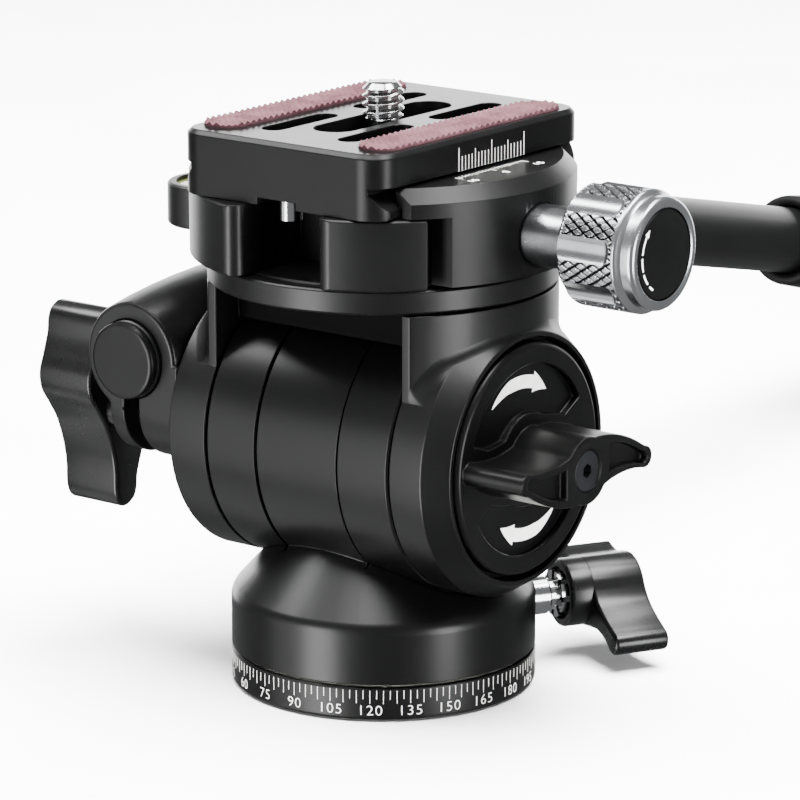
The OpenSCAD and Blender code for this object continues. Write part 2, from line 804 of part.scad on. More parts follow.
// Drum cap on the +X side
module drum_cap() {
    difference() {
        union() {
            translate([middle_half, 0, tilt_z]) rotate([0, 90, 0]) rotate_extrude()
                polygon([[0, 0], [drum_r, 0], [drum_r, drum_half - middle_half - edge],
                         [drum_r - edge, drum_half - middle_half], [0, drum_half - middle_half]]);
            tilt_rod(chamber_r - fit, spigot_x, middle_half + fit);
        }
        tilt_rod(tilt_bush_r + fit, drum_half - tilt_bush_len, drum_half + over);
        tilt_rod(axle_r + free, spigot_x - over, drum_half);
        cylinder(r = nut_room_r, h = spindle_top_z + free);
        drum_screw_places(1)
            sunk_hole(drum_screw_head_r, drum_screw_head_r - drum_screw_r, drum_screw_r, drum_screw_l);
    }
}

module drum_cap_right() {
    color(anodised) drum_cap();
}

module drum_cap_left() {
    color(anodised) mirror([1, 0, 0]) drum_cap();
}

module tilt_bushes() {
    color(bronze) for (side = [0, 180]) rotate(side) difference() {
        tilt_rod(tilt_bush_r, drum_half - tilt_bush_len, drum_half);
        tilt_rod(axle_r + run, 0, drum_half + over);
    }
}

module damper_stators() {
    color(steel) for (i = [-1 : 1]) translate([2 * i * damper_pitch - damper_disc_t / 2, 0, tilt_z])
        rotate([0, 90, 0]) ring(axle_r + free, chamber_r - fit, damper_disc_t);
}

module drum_screws() {
    color(steel) for (side = [-1, 1]) drum_screw_places(side)
        sunk_screw(drum_screw_head_r, drum_screw_head_r - drum_screw_r, drum_screw_r, drum_screw_l);
}

// Tilting yoke and platform

module tilt_yoke() {
    color(anodised) difference() {
        union() {
            intersection() {
                union() {
                    translate([0, 0, tilt_z]) cylinder(r = yoke_r, h = yoke_top_z - tilt_z);
                    translate([0, 0, tilt_z]) cylinder(r = yoke_pad_r, h = platform_z - tilt_z);
                }
                union() {
                    for (side = [0, 180]) rotate(side)
                        translate([arm_x, -arm_half_y, 0]) cube([yoke_r, 2 * arm_half_y, platform_z]);
                    translate([-yoke_r, -bridge_half_y, 0]) cube([2 * yoke_r, 2 * bridge_half_y, platform_z]);
                }
            }
            tilt_rod(drum_r, -left_boss_x, -arm_x);
            translate([arm_x, 0, tilt_z]) rotate([0, 90, 0]) rotate_extrude()
                polygon([[0, 0], [drum_r, 0], [drum_r, right_boss_x - boss_cone_len - arm_x],
                         [boss_edge_r, right_boss_x - arm_x], [0, right_boss_x - arm_x]]);
        }
        tilt_rod(drum_r + bridge_gap, -arm_x, arm_x);
        // Axle, its bolt, the lock's recess and the pressure ring's pocket
        tilt_rod(axle_r + fit, -axle_left_x, -arm_x + over);
        tilt_rod(bolt_head_r + fit, -left_boss_x - over, -axle_left_x + fit);
        tilt_rod(lock_recess_r, lock_floor_x, right_boss_x + over);
        tilt_rod(press_ring_r + run, arm_x - over, press_back_x + press_travel + 0.2);
        tilt_rod(press_hub_r + run, arm_x, lock_floor_x + over);
        platform_screw_places() sunk_hole(platform_screw_head_r, platform_screw_head_r - platform_screw_r,
                                          platform_screw_r, platform_screw_l);
        socket_screw_places() sunk_hole(socket_screw_head_r, socket_screw_head_r - socket_screw_r,
                                        socket_screw_r, socket_screw_l);
    }
}

module tilt_axle() {
    color(steel) difference() {
        union() {
            tilt_rod(axle_r, -axle_left_x, lock_floor_x);
            tilt_rod(axle_thread_r, lock_floor_x - fit, axle_end_x);
        }
        tilt_rod(bolt_shank_r + fit, -axle_left_x - over, -spigot_x);
    }
}

module axle_bolt() {
    color(steel) difference() {
        union() {
            tilt_rod(bolt_head_r, -left_boss_x + 0.1, -axle_left_x);
            tilt_rod(bolt_shank_r, -axle_left_x - fit, -middle_half);
        }
        translate([-left_boss_x - over, 0, tilt_z]) rotate([0, 90, 0])
            cylinder(r = bolt_shank_r, h = over + 2, $fn = 6);
    }
}

module damper_rotors() {
    color(steel) for (side = [-1, 1]) translate([side * damper_pitch - damper_disc_t / 2, 0, tilt_z])
        rotate([0, 90, 0]) ring(axle_r + fit, chamber_r - 0.6, damper_disc_t);
}

module platform_disc() {
    color(anodised) difference() {
        union() {
            translate([0, 0, platform_z]) turned(yoke_r, platform_h);
            translate([0, 0, platform_z]) cylinder(r = clamp_pad_r, h = platform_h + clamp_shadow_h);
        }
        platform_screw_places() {
            sunk_hole(platform_screw_head_r, platform_screw_head_r - platform_screw_r,
                      platform_screw_r, platform_screw_l);
            translate([0, 0, -over]) cylinder(r = platform_screw_head_r + fit, h = over);
        }
        clamp_screw_places() translate([0, 0, -clamp_screw_l - screw_room])
            cylinder(r = clamp_screw_r + fit, h = clamp_screw_l);
    }
}

module platform_screws() {
    color(steel) platform_screw_places()
        sunk_screw(platform_screw_head_r, platform_screw_head_r - platform_screw_r,
                   platform_screw_r, platform_screw_l);
}

// Half-moon lip of a jaw on the +X side: round and bevelled outside, dovetail inside
module jaw_lip(foot_z) {
    difference() {
        intersection() {
            translate([0, 0, foot_z]) rotate_extrude()
                polygon([[0, 0], [clamp_r, 0], [clamp_r, lip_top_z - lip_bevel - foot_z],
                         [clamp_r - lip_bevel, lip_top_z - foot_z], [0, lip_top_z - foot_z]]);
            translate([lip_tip_x, -lip_half_y, 0]) cube([clamp_r, 2 * lip_half_y, lip_top_z + over]);
        }
        translate([0, lip_half_y + over, 0]) rotate([90, 0, 0]) linear_extrude(2 * (lip_half_y + over))
            polygon([[0, foot_z - over], [lip_root_x, foot_z - over], [lip_root_x, slope_sum - lip_root_x],
                     [lip_tip_x, slope_sum - lip_tip_x], [0, slope_sum - lip_tip_x]]);
        // Chamfered outer corners at both ends
        for (side = [-1, 1]) translate([lip_tip_x, side * lip_half_y, 0]) rotate(45)
            translate([-lip_chamfer, -lip_chamfer, 0]) cube([2 * lip_chamfer, 2 * lip_chamfer, lip_top_z + over]);
    }
}

// Outline of the notch at one end of the clamp, with its outer corners rounded off
module notch_outline() {
    mid_y = (clamp_r + notch_end_y) / 2;
    translate([notch_left_x, notch_end_y]) square([notch_right_x - notch_left_x, clamp_r]);
    for (corner = [[notch_left_x, -1], [notch_right_x, 1]]) {
        reach = sqrt(pow(clamp_r - notch_round, 2) - pow(corner[0] + corner[1] * notch_round, 2));
        centre = [corner[0] + corner[1] * notch_round, reach];
        touch = centre * clamp_r / (clamp_r - notch_round);
        difference() {
            polygon([[corner[0], mid_y], [corner[0], clamp_r + over], touch * 1.05, touch, centre,
                     [corner[0], reach]]);
            translate(centre) circle(notch_round);
        }
    }
}

module clamp_body() {
    color(anodised) difference() {
        union() {
            translate([0, 0, clamp_z]) turned(clamp_r, clamp_h);
            mirror([1, 0, 0]) jaw_lip(seat_z - fit);
            translate([-level_x, 0, level_z]) turned(level_r, level_h);
            translate([-level_x, -level_r * 0.7, level_z]) cube([level_x - clamp_r + 3, level_r * 1.4, level_h]);
        }
        for (side = [0, 1]) mirror([0, side, 0]) translate([0, 0, clamp_z - over])
            linear_extrude(clamp_h + 2 * over) notch_outline();
        // The web between the notches lies a little lower than the plate's seat
        translate([notch_left_x, -notch_end_y - over, seat_z - web_drop])
            cube([notch_right_x - notch_left_x, 2 * (notch_end_y + over), over]);
        // Gap of the moving jaw
        translate([jaw_gap_x, -jaw_gap_half, clamp_z - over])
            cube([clamp_r, 2 * jaw_gap_half, clamp_h + 2 * over]);
        x_rod(stud_r + run, stud_end_x - over, clamp_r, 0, knob_z);
        for (side = [-1, 1]) x_rod(pin_r + fit, pin_start_x, clamp_r, side * pin_y, knob_z);
        translate([-level_x, 0, level_z + level_floor]) cylinder(r = level_r - level_wall, h = level_h);
        clamp_screw_places() {
            cylinder(r = clamp_screw_head_r + 0.2, h = clamp_h);
            translate([0, 0, -clamp_screw_seat_h - over])
                cylinder(r = clamp_screw_r + fit, h = clamp_screw_seat_h + 2 * over);
        }
    }
}

module clamp_screws() {
    color(steel) clamp_screw_places() cap_screw(clamp_screw_head_r, clamp_screw_head_h, clamp_screw_r, clamp_screw_l);
}

module level_vial() {
    color("#dfe9d8") translate([-level_x, 0, level_z + level_floor])
        turned(level_r - level_wall - fit, level_h - level_floor - 0.3);
}

module jaw_pins() {
    color(steel) for (side = [-1, 1]) x_rod(pin_r, pin_start_x, pin_end_x, side * pin_y, knob_z);
}

// Moving jaw and its knob

module clamp_jaw() {
    color(anodised) difference() {
        union() {
            intersection() {
                translate([0, 0, jaw_z]) cylinder(r = clamp_r, h = jaw_lip_z - jaw_z + fit);
                translate([jaw_in_x, -jaw_block_half, 0]) cube([clamp_r, 2 * jaw_block_half, lip_top_z]);
            }
            jaw_lip(jaw_lip_z);
        }
        x_rod(stud_r + run, 0, clamp_r + over, 0, knob_z);
        x_rod(clip_r + run, 0, jaw_in_x + clip_t + run, 0, knob_z);
        x_rod(spot_r, collar_x, clamp_r + over, 0, knob_z);
        for (side = [-1, 1]) x_rod(pin_r + run, 0, pin_end_x + pin_room, side * pin_y, knob_z);
    }
}

module clamp_knob() {
    color(silver) difference() {
        translate([0, 0, knob_z]) rotate([0, 90, 0]) rotate_extrude()
            polygon([[0, collar_x], [collar_r, collar_x], [collar_r, knob_start_x], [knob_r - knob_bevel, knob_start_x],
                     [knob_r, knob_start_x + knob_bevel], [knob_r, knob_start_x + knob_grip_len - knob_bevel / 2],
                     [knob_front_r, knob_start_x + knob_grip_len + knob_bevel / 2],
                     [knob_front_r, knob_end_x - knob_chamfer], [knob_front_r - knob_chamfer, knob_end_x], [0, knob_end_x]]);
        // Smooth flutes, open at the back and ending in a round before the front ring
        for (i = [0 : flute_count - 1]) along_x(0, knob_z) rotate(38 + i * 360 / flute_count)
            translate([knob_r + flute_r - flute_depth, 0, knob_start_x - over])
                cylinder(r = flute_r, h = over + knob_grip_len - knob_bevel);
        x_rod(knob_disc_r + fit, knob_end_x - disc_sink, knob_end_x + over, 0, knob_z);
        x_rod(stud_r + fit, 0, stud_root_x + fit, 0, knob_z);
    }
}

module clamp_knob_disc() {
    color(moulded) translate([knob_end_x - disc_sink, 0, knob_z]) rotate([0, 90, 0])
        turned(knob_disc_r, disc_t, disc_t / 4);
}

module clamp_stud() {
    color(steel) difference() {
        x_rod(stud_r, stud_end_x, stud_root_x, 0, knob_z);
        translate([jaw_in_x - fit, 0, knob_z]) rotate([0, 90, 0])
            ring(stud_r - clip_bite, stud_r + over, clip_t + 2 * fit);
    }
}

// Snap ring in the screw's groove, which draws the jaw out with the knob
module stud_clip() {
    color(steel) translate([jaw_in_x, 0, knob_z]) rotate([0, 90, 0]) difference() {
        ring(stud_r - clip_bite + fit, clip_r, clip_t);
        translate([0, -clip_gap / 2, -over]) cube([clip_r + over, clip_gap, clip_t + 2 * over]);
    }
}

// Quick-release plate

module plate_blank() {
    intersection() {
        translate([0, plate_l / 2, 0]) rotate([90, 0, 0]) linear_extrude(plate_l) polygon(concat(
            plate_side(1), [for (i = [7 : -1 : 0]) let (p = plate_side(1)[i]) [-p[0], p[1]]]));
        union() {
            plate_corners() cylinder(r = plate_corner, h = plate_h - plate_edge);
            plate_bar(plate_w, plate_l - 2 * plate_corner);
            rotate(90) plate_bar(plate_l, plate_w - 2 * plate_corner);
            // The corners' share of the top chamfer
            plate_corners() translate([0, 0, plate_h - plate_edge])
                cylinder(r1 = plate_corner, r2 = plate_corner - plate_edge, h = plate_edge);
        }
    }
}

module plate_corners() {
    for (x = [-1, 1], y = [-1, 1])
        translate([x * (plate_w / 2 - plate_corner), y * (plate_l / 2 - plate_corner), plate_z]) children();
}

// Straight stretch of the plate between two rounded corners, chamfered along its top
module plate_bar(width, length) {
    translate([0, length / 2, plate_z]) rotate([90, 0, 0]) linear_extrude(length)
        polygon([[-width / 2, 0], [width / 2, 0], [width / 2, plate_h - plate_edge],
                 [width / 2 - plate_edge, plate_h], [-width / 2 + plate_edge, plate_h],
                 [-width / 2, plate_h - plate_edge]]);
}

// Half outline of the plate across its dovetail, from the underside up
function plate_side(side) = [
    [side * (foot_half - edge), plate_z], [side * foot_half, plate_z + edge],
    [side * foot_half, plate_z + foot_h], [side * waist_half, plate_z + foot_h + foot_half - waist_half],
    [side * waist_half, plate_z + groove_top_h], [side * plate_w / 2, plate_z + groove_top_h],
    [side * plate_w / 2, plate_top_z + over], [0, plate_top_z + over]];

module quick_plate() {
    color(anodised) difference() {
        plate_blank();
        translate([0, 0, plate_z - over]) slot(slot_half, slot_half_l, plate_h + 2 * over);
        translate([0, 0, plate_z - over]) slot(pocket_half, pocket_half_l, over + pocket_h);
        for (x = [-1, 1], y = [-1, 1]) translate([x * short_slot_x, y * short_slot_y, plate_z - over])
            slot(short_slot_half, short_slot_l / 2, plate_h + 2 * over);
        translate([-under_groove_half, -plate_l, plate_z - over])
            cube([2 * under_groove_half, 2 * plate_l, over + under_groove_d]);
        for (x = [-1, 1]) translate([x * pad_x, 0, pad_z]) slot(pad_w / 2 + fit, pad_l / 2 + fit, plate_h);
        for (side = [-1, 1]) translate([0, side * stop_y, plate_z])
            cylinder(r = stop_r * 0.6 + fit, h = under_groove_d + stop_bite + screw_room);
    }
}

module plate_pad(side) {
    color(mauve) translate([side * pad_x, 0, pad_z]) slot(pad_w / 2, pad_l / 2, pad_seat + pad_proud);
}

module plate_pad_left() {
    plate_pad(-1);
}

module plate_pad_right() {
    plate_pad(1);
}

module plate_stop_screws() {
    color(steel) for (side = [-1, 1]) translate([0, side * stop_y, plate_z + under_groove_d]) mirror([0, 0, 1])
        cap_screw(stop_r, under_groove_d + stop_drop, stop_r * 0.6, stop_bite);
}

// Open washer that rides in the plate's pocket and carries the camera screw
module screw_clip() {
    color(steel) translate([0, 0, clip_z]) difference() {
        ring(camera_neck_r + run, pocket_half - run, clip_t);
        translate([0, -camera_neck_r * 0.8, -over]) cube([screw_head_r + 2 * over, camera_neck_r * 1.6, clip_t + 2 * over]);
    }
}

module camera_screw() {
    color(steel) difference() {
        union() {
            translate([0, 0, screw_head_z]) turned(screw_head_r, screw_head_h);
            translate([0, 0, screw_head_z]) cylinder(r = camera_neck_r, h = camera_thread_z - screw_head_z + fit);
            translate([0, 0, camera_thread_z]) rotate_extrude()
                polygon([[0, 0], [camera_r, 0], [camera_r, camera_l - camera_tip], [camera_r - camera_tip, camera_l], [0, camera_l]]);
        }
        // Coin slot across the head
        translate([-screw_head_r - over, -coin_slot_w / 2, screw_head_z - over])
            cube([2 * (screw_head_r + over), coin_slot_w, over + coin_slot_d]);
    }
}

// Tilt lock

module tilt_lock_knob() {
    color(moulded) difference() {
        union() {
            translate([lock_disc_x, 0, tilt_z]) rotate([0, 90, 0]) turned(lock_disc_r, lock_disc_t, knob_chamfer);
            along_x(0, tilt_z) translate([0, 0, lock_disc_x]) linear_extrude(lock_top_x - lock_disc_x)
                wing_outline(lock_wing_l, lock_bend, lock_curl, lock_root, lock_tip, lock_hub_r);
        }
        // Two hollows in the disc, above and below the wing
        for (turn = [0, 180]) along_x(0, tilt_z) rotate(turn) translate([0, 0, lock_face_x - hollow_d])
            linear_extrude(hollow_d + over) difference() {
                intersection() {
                    circle(hollow_r);
                    polygon([[0, 0], [-hollow_r * 2, hollow_r * 0.7], [-hollow_r * 2, hollow_r * 2],
                             [hollow_r * 2, hollow_r * 2], [hollow_r * 2, hollow_r * 1.1]]);
                }
                circle(lock_hub_r + hollow_land);
                for (flip = [0, 180]) rotate(flip) wing_arm(lock_wing_l, lock_bend, lock_curl,
                                                                lock_root + wing_foot, lock_tip + wing_foot);
            }
        // Shallow pockets in the wing's outer face
        for (turn = [0, 180]) along_x(0, tilt_z) rotate(turn) translate([0, 0, lock_top_x - wing_pocket_d])
            linear_extrude(wing_pocket_d + over)
                wing_arm(lock_wing_l - pocket_short, lock_bend, lock_curl, lock_root - pocket_rim, lock_tip - pocket_rim / 2,
                         pocket_from);
        tilt_rod(lock_nut_r + fit, lock_disc_x - over, lock_disc_x + lock_nut_len + fit);
        tilt_rod(lock_nut_flange_r + fit, lock_disc_x - over, lock_disc_x + lock_nut_flange_t + fit);
        tilt_rod(lock_screw_r + fit, lock_disc_x, lock_top_x + over);
        translate([lock_top_x, 0, tilt_z]) rotate([0, -90, 0]) translate([0, 0, screw_sink])
            sunk_hole(lock_screw_head_r, lock_screw_head_h, lock_screw_r, over);
    }
}

module tilt_lock_nut() {
    color(bronze) difference() {
        union() {
            tilt_rod(lock_nut_r, lock_disc_x, lock_disc_x + lock_nut_len);
            tilt_rod(lock_nut_flange_r, lock_disc_x, lock_disc_x + lock_nut_flange_t);
        }
        tilt_rod(axle_thread_r + run, lock_disc_x - over, axle_end_x + free);
        tilt_rod(lock_screw_r + fit, lock_disc_x, lock_disc_x + lock_nut_len + over);
    }
}

module tilt_lock_screw() {
    color("#5b5d60") translate([lock_top_x - screw_sink, 0, tilt_z]) rotate([0, -90, 0])
        sunk_screw(lock_screw_head_r, lock_screw_head_h, lock_screw_r, lock_screw_l);
}

module tilt_pressure_ring() {
    color(steel) difference() {
        union() {
            tilt_rod(press_ring_r, press_x + lining_t, press_back_x);
            tilt_rod(press_hub_r, press_back_x - fit, press_hub_x);
        }
        tilt_rod(axle_r + run, 0, right_boss_x);
    }
}

module tilt_lining() {
    color(polymer) translate([press_x, 0, tilt_z]) rotate([0, 90, 0])
        ring(axle_r + tilt_bush_wall + free, press_ring_r - 0.5, lining_t);
}

// Pan lock

module pan_lock_lever() {
    color(moulded) along_pan_lock() difference() {
        union() {
            translate([0, 0, pan_hub_start]) turned(pan_hub_r, pan_hub_len);
            translate([0, 0, pan_wing_start]) linear_extrude(pan_wing_len) {
                circle(pan_hub_r);
                rotate(180 + pan_arm_droop) wing_arm(pan_arm_l, pan_bend, -pan_bend, pan_root, pan_tip);
                rotate(pan_arm_droop + stub_turn) wing_arm(pan_stub_l, 0, 0, pan_root, pan_tip);
            }
        }
        translate([0, 0, pan_hub_start - over]) cylinder(r = insert_r + fit, h = insert_start + insert_len
                                                         - pan_hub_start + over + fit);
        translate([0, 0, pan_hub_start - over]) cylinder(r = insert_r + mouth_room, h = over + mouth_depth);
    }
}

module pan_lock_insert() {
    color(steel) along_pan_lock() difference() {
        translate([0, 0, insert_start]) cylinder(r = insert_r, h = insert_len);
        translate([0, 0, insert_start - over]) cylinder(r = pan_stud_r + fit, h = insert_len + 2 * over);
        // Locking teeth in the mouth
        for (i = [0 : tooth_count - 1]) rotate(i * 360 / tooth_count)
            translate([pan_stud_r - tooth_root, -tooth_w / 2, insert_start - over])
                cube([insert_r, tooth_w, over + tooth_depth]);
    }
}

module pan_lock_stud() {
    color(steel) along_pan_lock() {
        translate([0, 0, stud_start]) cylinder(r = pan_stud_r, h = pan_stud_end - stud_start);
        translate([0, 0, pan_collar_start]) turned(pan_collar_r, pan_collar_len);
    }
}

module pan_brake_shoe() {
    color(bronze) along_pan_lock() translate([0, 0, shoe_start]) cylinder(r = shoe_r, h = shoe_len);
}

// Pan bar, its socket and its wing

// Turned outside of the socket: an even swell from the front face to the belly
module socket_barrel() {
    steps = 8;
    swell = [for (i = [0 : steps]) let (y = socket_front_y + edge + (socket_rear_y - socket_front_y - edge) * i / steps)
        [socket_r - socket_rise * pow(y - socket_belly_y, 2), y]];
    along_bar() rotate_extrude() polygon(concat(
        [[0, socket_front_y], [socket_front_r - edge, socket_front_y]], swell, [[0, socket_rear_y]]));
}

module bar_socket() {
    color(anodised) difference() {
        union() {
            socket_barrel();
            // Ears of the split, with their lower front edge rounded
            translate([-ear_left_x, 0, 0]) rotate([90, 0, 90]) linear_extrude(ear_left_x - left_boss_x) union() {
                translate([socket_front_y + ear_round, ear_z + ear_round]) circle(ear_round);
                translate([socket_front_y, ear_z + ear_round])
                    square([ear_rear_y - socket_front_y, bar_z - ear_z - ear_round]);
                translate([socket_front_y + ear_round, ear_z])
                    square([ear_rear_y - socket_front_y - ear_round, bar_z - ear_z]);
            }
            // Foot on the yoke's left boss
            x_rod(socket_pad_r, -bar_x, -pad_face_x, 0, socket_pad_z);
        }
        along_bar() translate([0, 0, socket_front_y - over])
            cylinder(r = bar_r + bore_gap, h = socket_rear_y - socket_front_y + 2 * over);
        // Split through the ears and the underside of the barrel
        translate([-bar_x - split_w / 2, socket_front_y - over, ear_z - over])
            cube([split_w, socket_rear_y - socket_front_y + 2 * over, bar_z - ear_z + over]);
        // Flat outer side of the left ear
        translate([-ear_left_x - socket_r, socket_front_y - over, ear_z - over])
            cube([socket_r, socket_rear_y - socket_front_y + 2 * over, ear_drop - socket_front_r + over]);
        // The yoke's own outside
        translate([-pad_face_x, -yoke_r, 0]) cube([yoke_r, 2 * yoke_r, yoke_top_z + over]);
        translate([0, 0, tilt_z]) cylinder(r = yoke_r + fit, h = yoke_top_z - tilt_z + over);
        x_rod(wing_stud_r + run, -ear_left_x - over, -pad_face_x + over, wing_y, wing_z);
        x_rod(ear_nut_r + fit, -nut_face_x - ear_nut_len, -pad_face_x + over, wing_y, wing_z);
        socket_screw_places() sunk_hole(socket_screw_head_r, socket_screw_head_r - socket_screw_r,
                                        socket_screw_r, socket_screw_l);
    }
}

module socket_screws() {
    color(steel) socket_screw_places() sunk_screw(socket_screw_head_r, socket_screw_head_r - socket_screw_r,
                                                  socket_screw_r, socket_screw_l);
}

module ear_nut() {
    color(bronze) difference() {
        x_rod(ear_nut_r, -nut_face_x - ear_nut_len, -nut_face_x, wing_y, wing_z);
        x_rod(wing_stud_r + run, -ear_left_x, 0, wing_y, wing_z);
    }
}

// The bar is drilled from both ends and left solid at its bend
module bar_tube() {
    color(anodised) difference() {
        union() {
            along_bar() translate([0, 0, bar_front_y]) cylinder(r = bar_r, h = bar_bend_y - bar_front_y);
            translate([-bar_x, bar_bend_y, bar_z]) sphere(bar_r);
            along_grip() cylinder(r = bar_r, h = bar_bare_len + grip_bore_l);
        }
        along_bar() translate([0, 0, bar_front_y - over])
            cylinder(r = bar_r - bar_wall, h = bar_bend_y - solid_bend - bar_front_y + over);
        along_grip() translate([0, 0, solid_bend])
            cylinder(r = bar_r - bar_wall, h = bar_bare_len + grip_bore_l);
    }
}

module bar_front_plug() {
    color(moulded) along_bar() {
        translate([0, 0, bar_front_y - plug_t]) turned(bar_r - run, plug_t);
        translate([0, 0, bar_front_y - fit]) cylinder(r = bar_r - bar_wall - fit, h = plug_depth);
    }
}

// Swelling rubber grip, from its mouth to its end
module bar_grip() {
    color(rubber) along_grip() translate([0, 0, bar_bare_len]) difference() {
        rotate_extrude() polygon(concat([[0, 0], [grip_mouth_r - edge, 0]],
            [for (i = [0 : 10]) let (t = i / 10) [grip_mouth_r + (grip_r - grip_mouth_r) * sin(grip_swell * t),
                                                  edge + (grip_l - grip_plug_t - edge) * t]],
            [[0, grip_l - grip_plug_t]]));
        translate([0, 0, -over]) cylinder(r = bar_r + fit, h = grip_bore_l + over + fit);
        translate([0, 0, grip_l - grip_plug_t - peg_l - screw_room]) cylinder(r = peg_r + fit, h = peg_l + over);
    }
}

module grip_end_plug() {
    color(moulded) along_grip() translate([0, 0, bar_bare_len + grip_l - grip_plug_t]) {
        turned(grip_mouth_r + (grip_r - grip_mouth_r) * sin(grip_swell) - fit, grip_plug_t, plug_round);
        translate([0, 0, -peg_l]) cylinder(r = peg_r, h = peg_l + fit);
    }
}

module bar_wing() {
    color(moulded) difference() {
        union() {
            x_rod(wing_hub_r, -wing_x - fit, -wing_hub_x, wing_y, wing_z);
            along_x(wing_y, wing_z) translate([0, 0, -wing_x - wing_w]) linear_extrude(wing_w)
                rotate(90) wing_outline(wing_l, wing_bend, wing_curl, wing_core_r, wing_tip, wing_core_r - edge);
        }
        x_rod(wing_stud_r + fit, -wing_x - wing_bite, 0, wing_y, wing_z);
    }
}

module bar_wing_stud() {
    color(steel) x_rod(wing_stud_r, -wing_x - wing_bite, -nut_face_x - screw_room, wing_y, wing_z);
}

index_ring();
thread_bush();
pan_spindle();
base_screws();
thrust_washer();
pan_damping_disc();
pan_nut();
pan_spring_washer();
pan_housing();
pan_bush();
drum_cap_left();
drum_cap_right();
tilt_bushes();
damper_stators();
drum_screws();
tilt_yoke();
tilt_axle();
damper_rotors();
axle_bolt();
platform_disc();
platform_screws();
clamp_body();
clamp_screws();
level_vial();
jaw_pins();
bar_socket();
socket_screws();
ear_nut();
tilt_lock_knob();
tilt_lock_nut();
tilt_lock_screw();
tilt_pressure_ring();
tilt_lining();
clamp_jaw();
clamp_knob();
clamp_knob_disc();
clamp_stud();
stud_clip();
quick_plate();
plate_pad_left();
plate_pad_right();
plate_stop_screws();
screw_clip();
camera_screw();
pan_lock_lever();
pan_lock_insert();
pan_lock_stud();
pan_brake_shoe();
bar_tube();
bar_front_plug();
bar_grip();
grip_end_plug();
bar_wing();
bar_wing_stud();
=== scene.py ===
# %% [markdown]
# # A fluid video head, dressed in Blender
# The solids of this head come from CAD and stay where they are. This lesson gives them
# finishes, eases their edges, and adds what a plain solid can't show: a knurl, a screw
# thread, rubber pyramids, dials and painted arrows.

# %% The frame and its tools
import json
import math

import bmesh
import bpy
import numpy as np
from mathutils import Matrix

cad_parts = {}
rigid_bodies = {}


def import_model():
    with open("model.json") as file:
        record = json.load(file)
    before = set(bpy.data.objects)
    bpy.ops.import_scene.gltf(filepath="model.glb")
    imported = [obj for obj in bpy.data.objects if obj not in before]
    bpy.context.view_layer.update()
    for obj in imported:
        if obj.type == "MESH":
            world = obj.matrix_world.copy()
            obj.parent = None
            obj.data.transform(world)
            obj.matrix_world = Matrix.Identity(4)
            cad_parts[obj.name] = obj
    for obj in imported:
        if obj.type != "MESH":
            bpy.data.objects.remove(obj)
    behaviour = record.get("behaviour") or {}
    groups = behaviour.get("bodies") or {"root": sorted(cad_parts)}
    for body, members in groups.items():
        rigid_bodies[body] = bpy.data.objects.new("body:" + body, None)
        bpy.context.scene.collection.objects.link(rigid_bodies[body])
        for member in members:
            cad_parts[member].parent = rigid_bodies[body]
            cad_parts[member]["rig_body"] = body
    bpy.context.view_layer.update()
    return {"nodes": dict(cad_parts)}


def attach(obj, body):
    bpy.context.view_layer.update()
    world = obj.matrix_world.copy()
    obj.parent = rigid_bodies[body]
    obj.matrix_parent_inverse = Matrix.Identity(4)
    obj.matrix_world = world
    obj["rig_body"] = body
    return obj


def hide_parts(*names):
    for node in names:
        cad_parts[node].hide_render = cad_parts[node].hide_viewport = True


for left_over in list(bpy.data.objects):
    bpy.data.objects.remove(left_over)
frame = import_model()
scene = bpy.context.scene
MM = 0.001

# %% [markdown]
# ## Camera
# A product shot is taken from far off with a long lens, so that upright edges stay almost
# parallel. The camera could be aimed by hand, but a position fitted to the picture is
# repeatable: an azimuth, an elevation and a distance from a point inside the head.

# %% Camera
azimuth = math.radians(37.577)
elevation = math.radians(14.476)
back = np.array([math.sin(azimuth) * math.cos(elevation),
                 -math.cos(azimuth) * math.cos(elevation), math.sin(elevation)])
right = np.array([math.cos(azimuth), math.sin(azimuth), 0.0])
upward = np.cross(back, right)
AIM_HEIGHT = 43.698
AIM_RIGHT = 2.527
DISTANCE = 683.97
stand = (np.array([0.0, 0.0, AIM_HEIGHT]) + AIM_RIGHT * right + DISTANCE * back) * MM
lens = bpy.data.cameras.new("long_lens")
lens.sensor_width = 36.0
lens.lens = 201.46
camera = bpy.data.objects.new("long_lens", lens)
scene.collection.objects.link(camera)
axes = np.column_stack([right, upward, back, stand])
camera.matrix_world = Matrix(np.vstack([axes, [0, 0, 0, 1]]).tolist())
scene.camera = camera
print("camera stands at", np.round(stand, 3))

# %% [markdown]
# ## Surfaces from arrays
# Every new piece is a grid of points worked out as whole numpy arrays. One function turns
# such a grid into quads and can close it round, and another also caps the two ends of a tube.
# A third makes the object, smooth where the surface is smooth and sharp at real edges.


# %% Grids become meshes
def quads(rows, columns, close_columns=False):
    """Quads between neighbouring points of a grid; closed columns join the last one to the first."""
    index = np.arange(rows * columns).reshape(rows, columns)
    if close_columns:
        index = np.hstack([index, index[:, :1]])
    corners = [index[:-1, :-1], index[1:, :-1], index[1:, 1:], index[:-1, 1:]]
    return np.stack(corners, axis=-1).reshape(-1, 4)


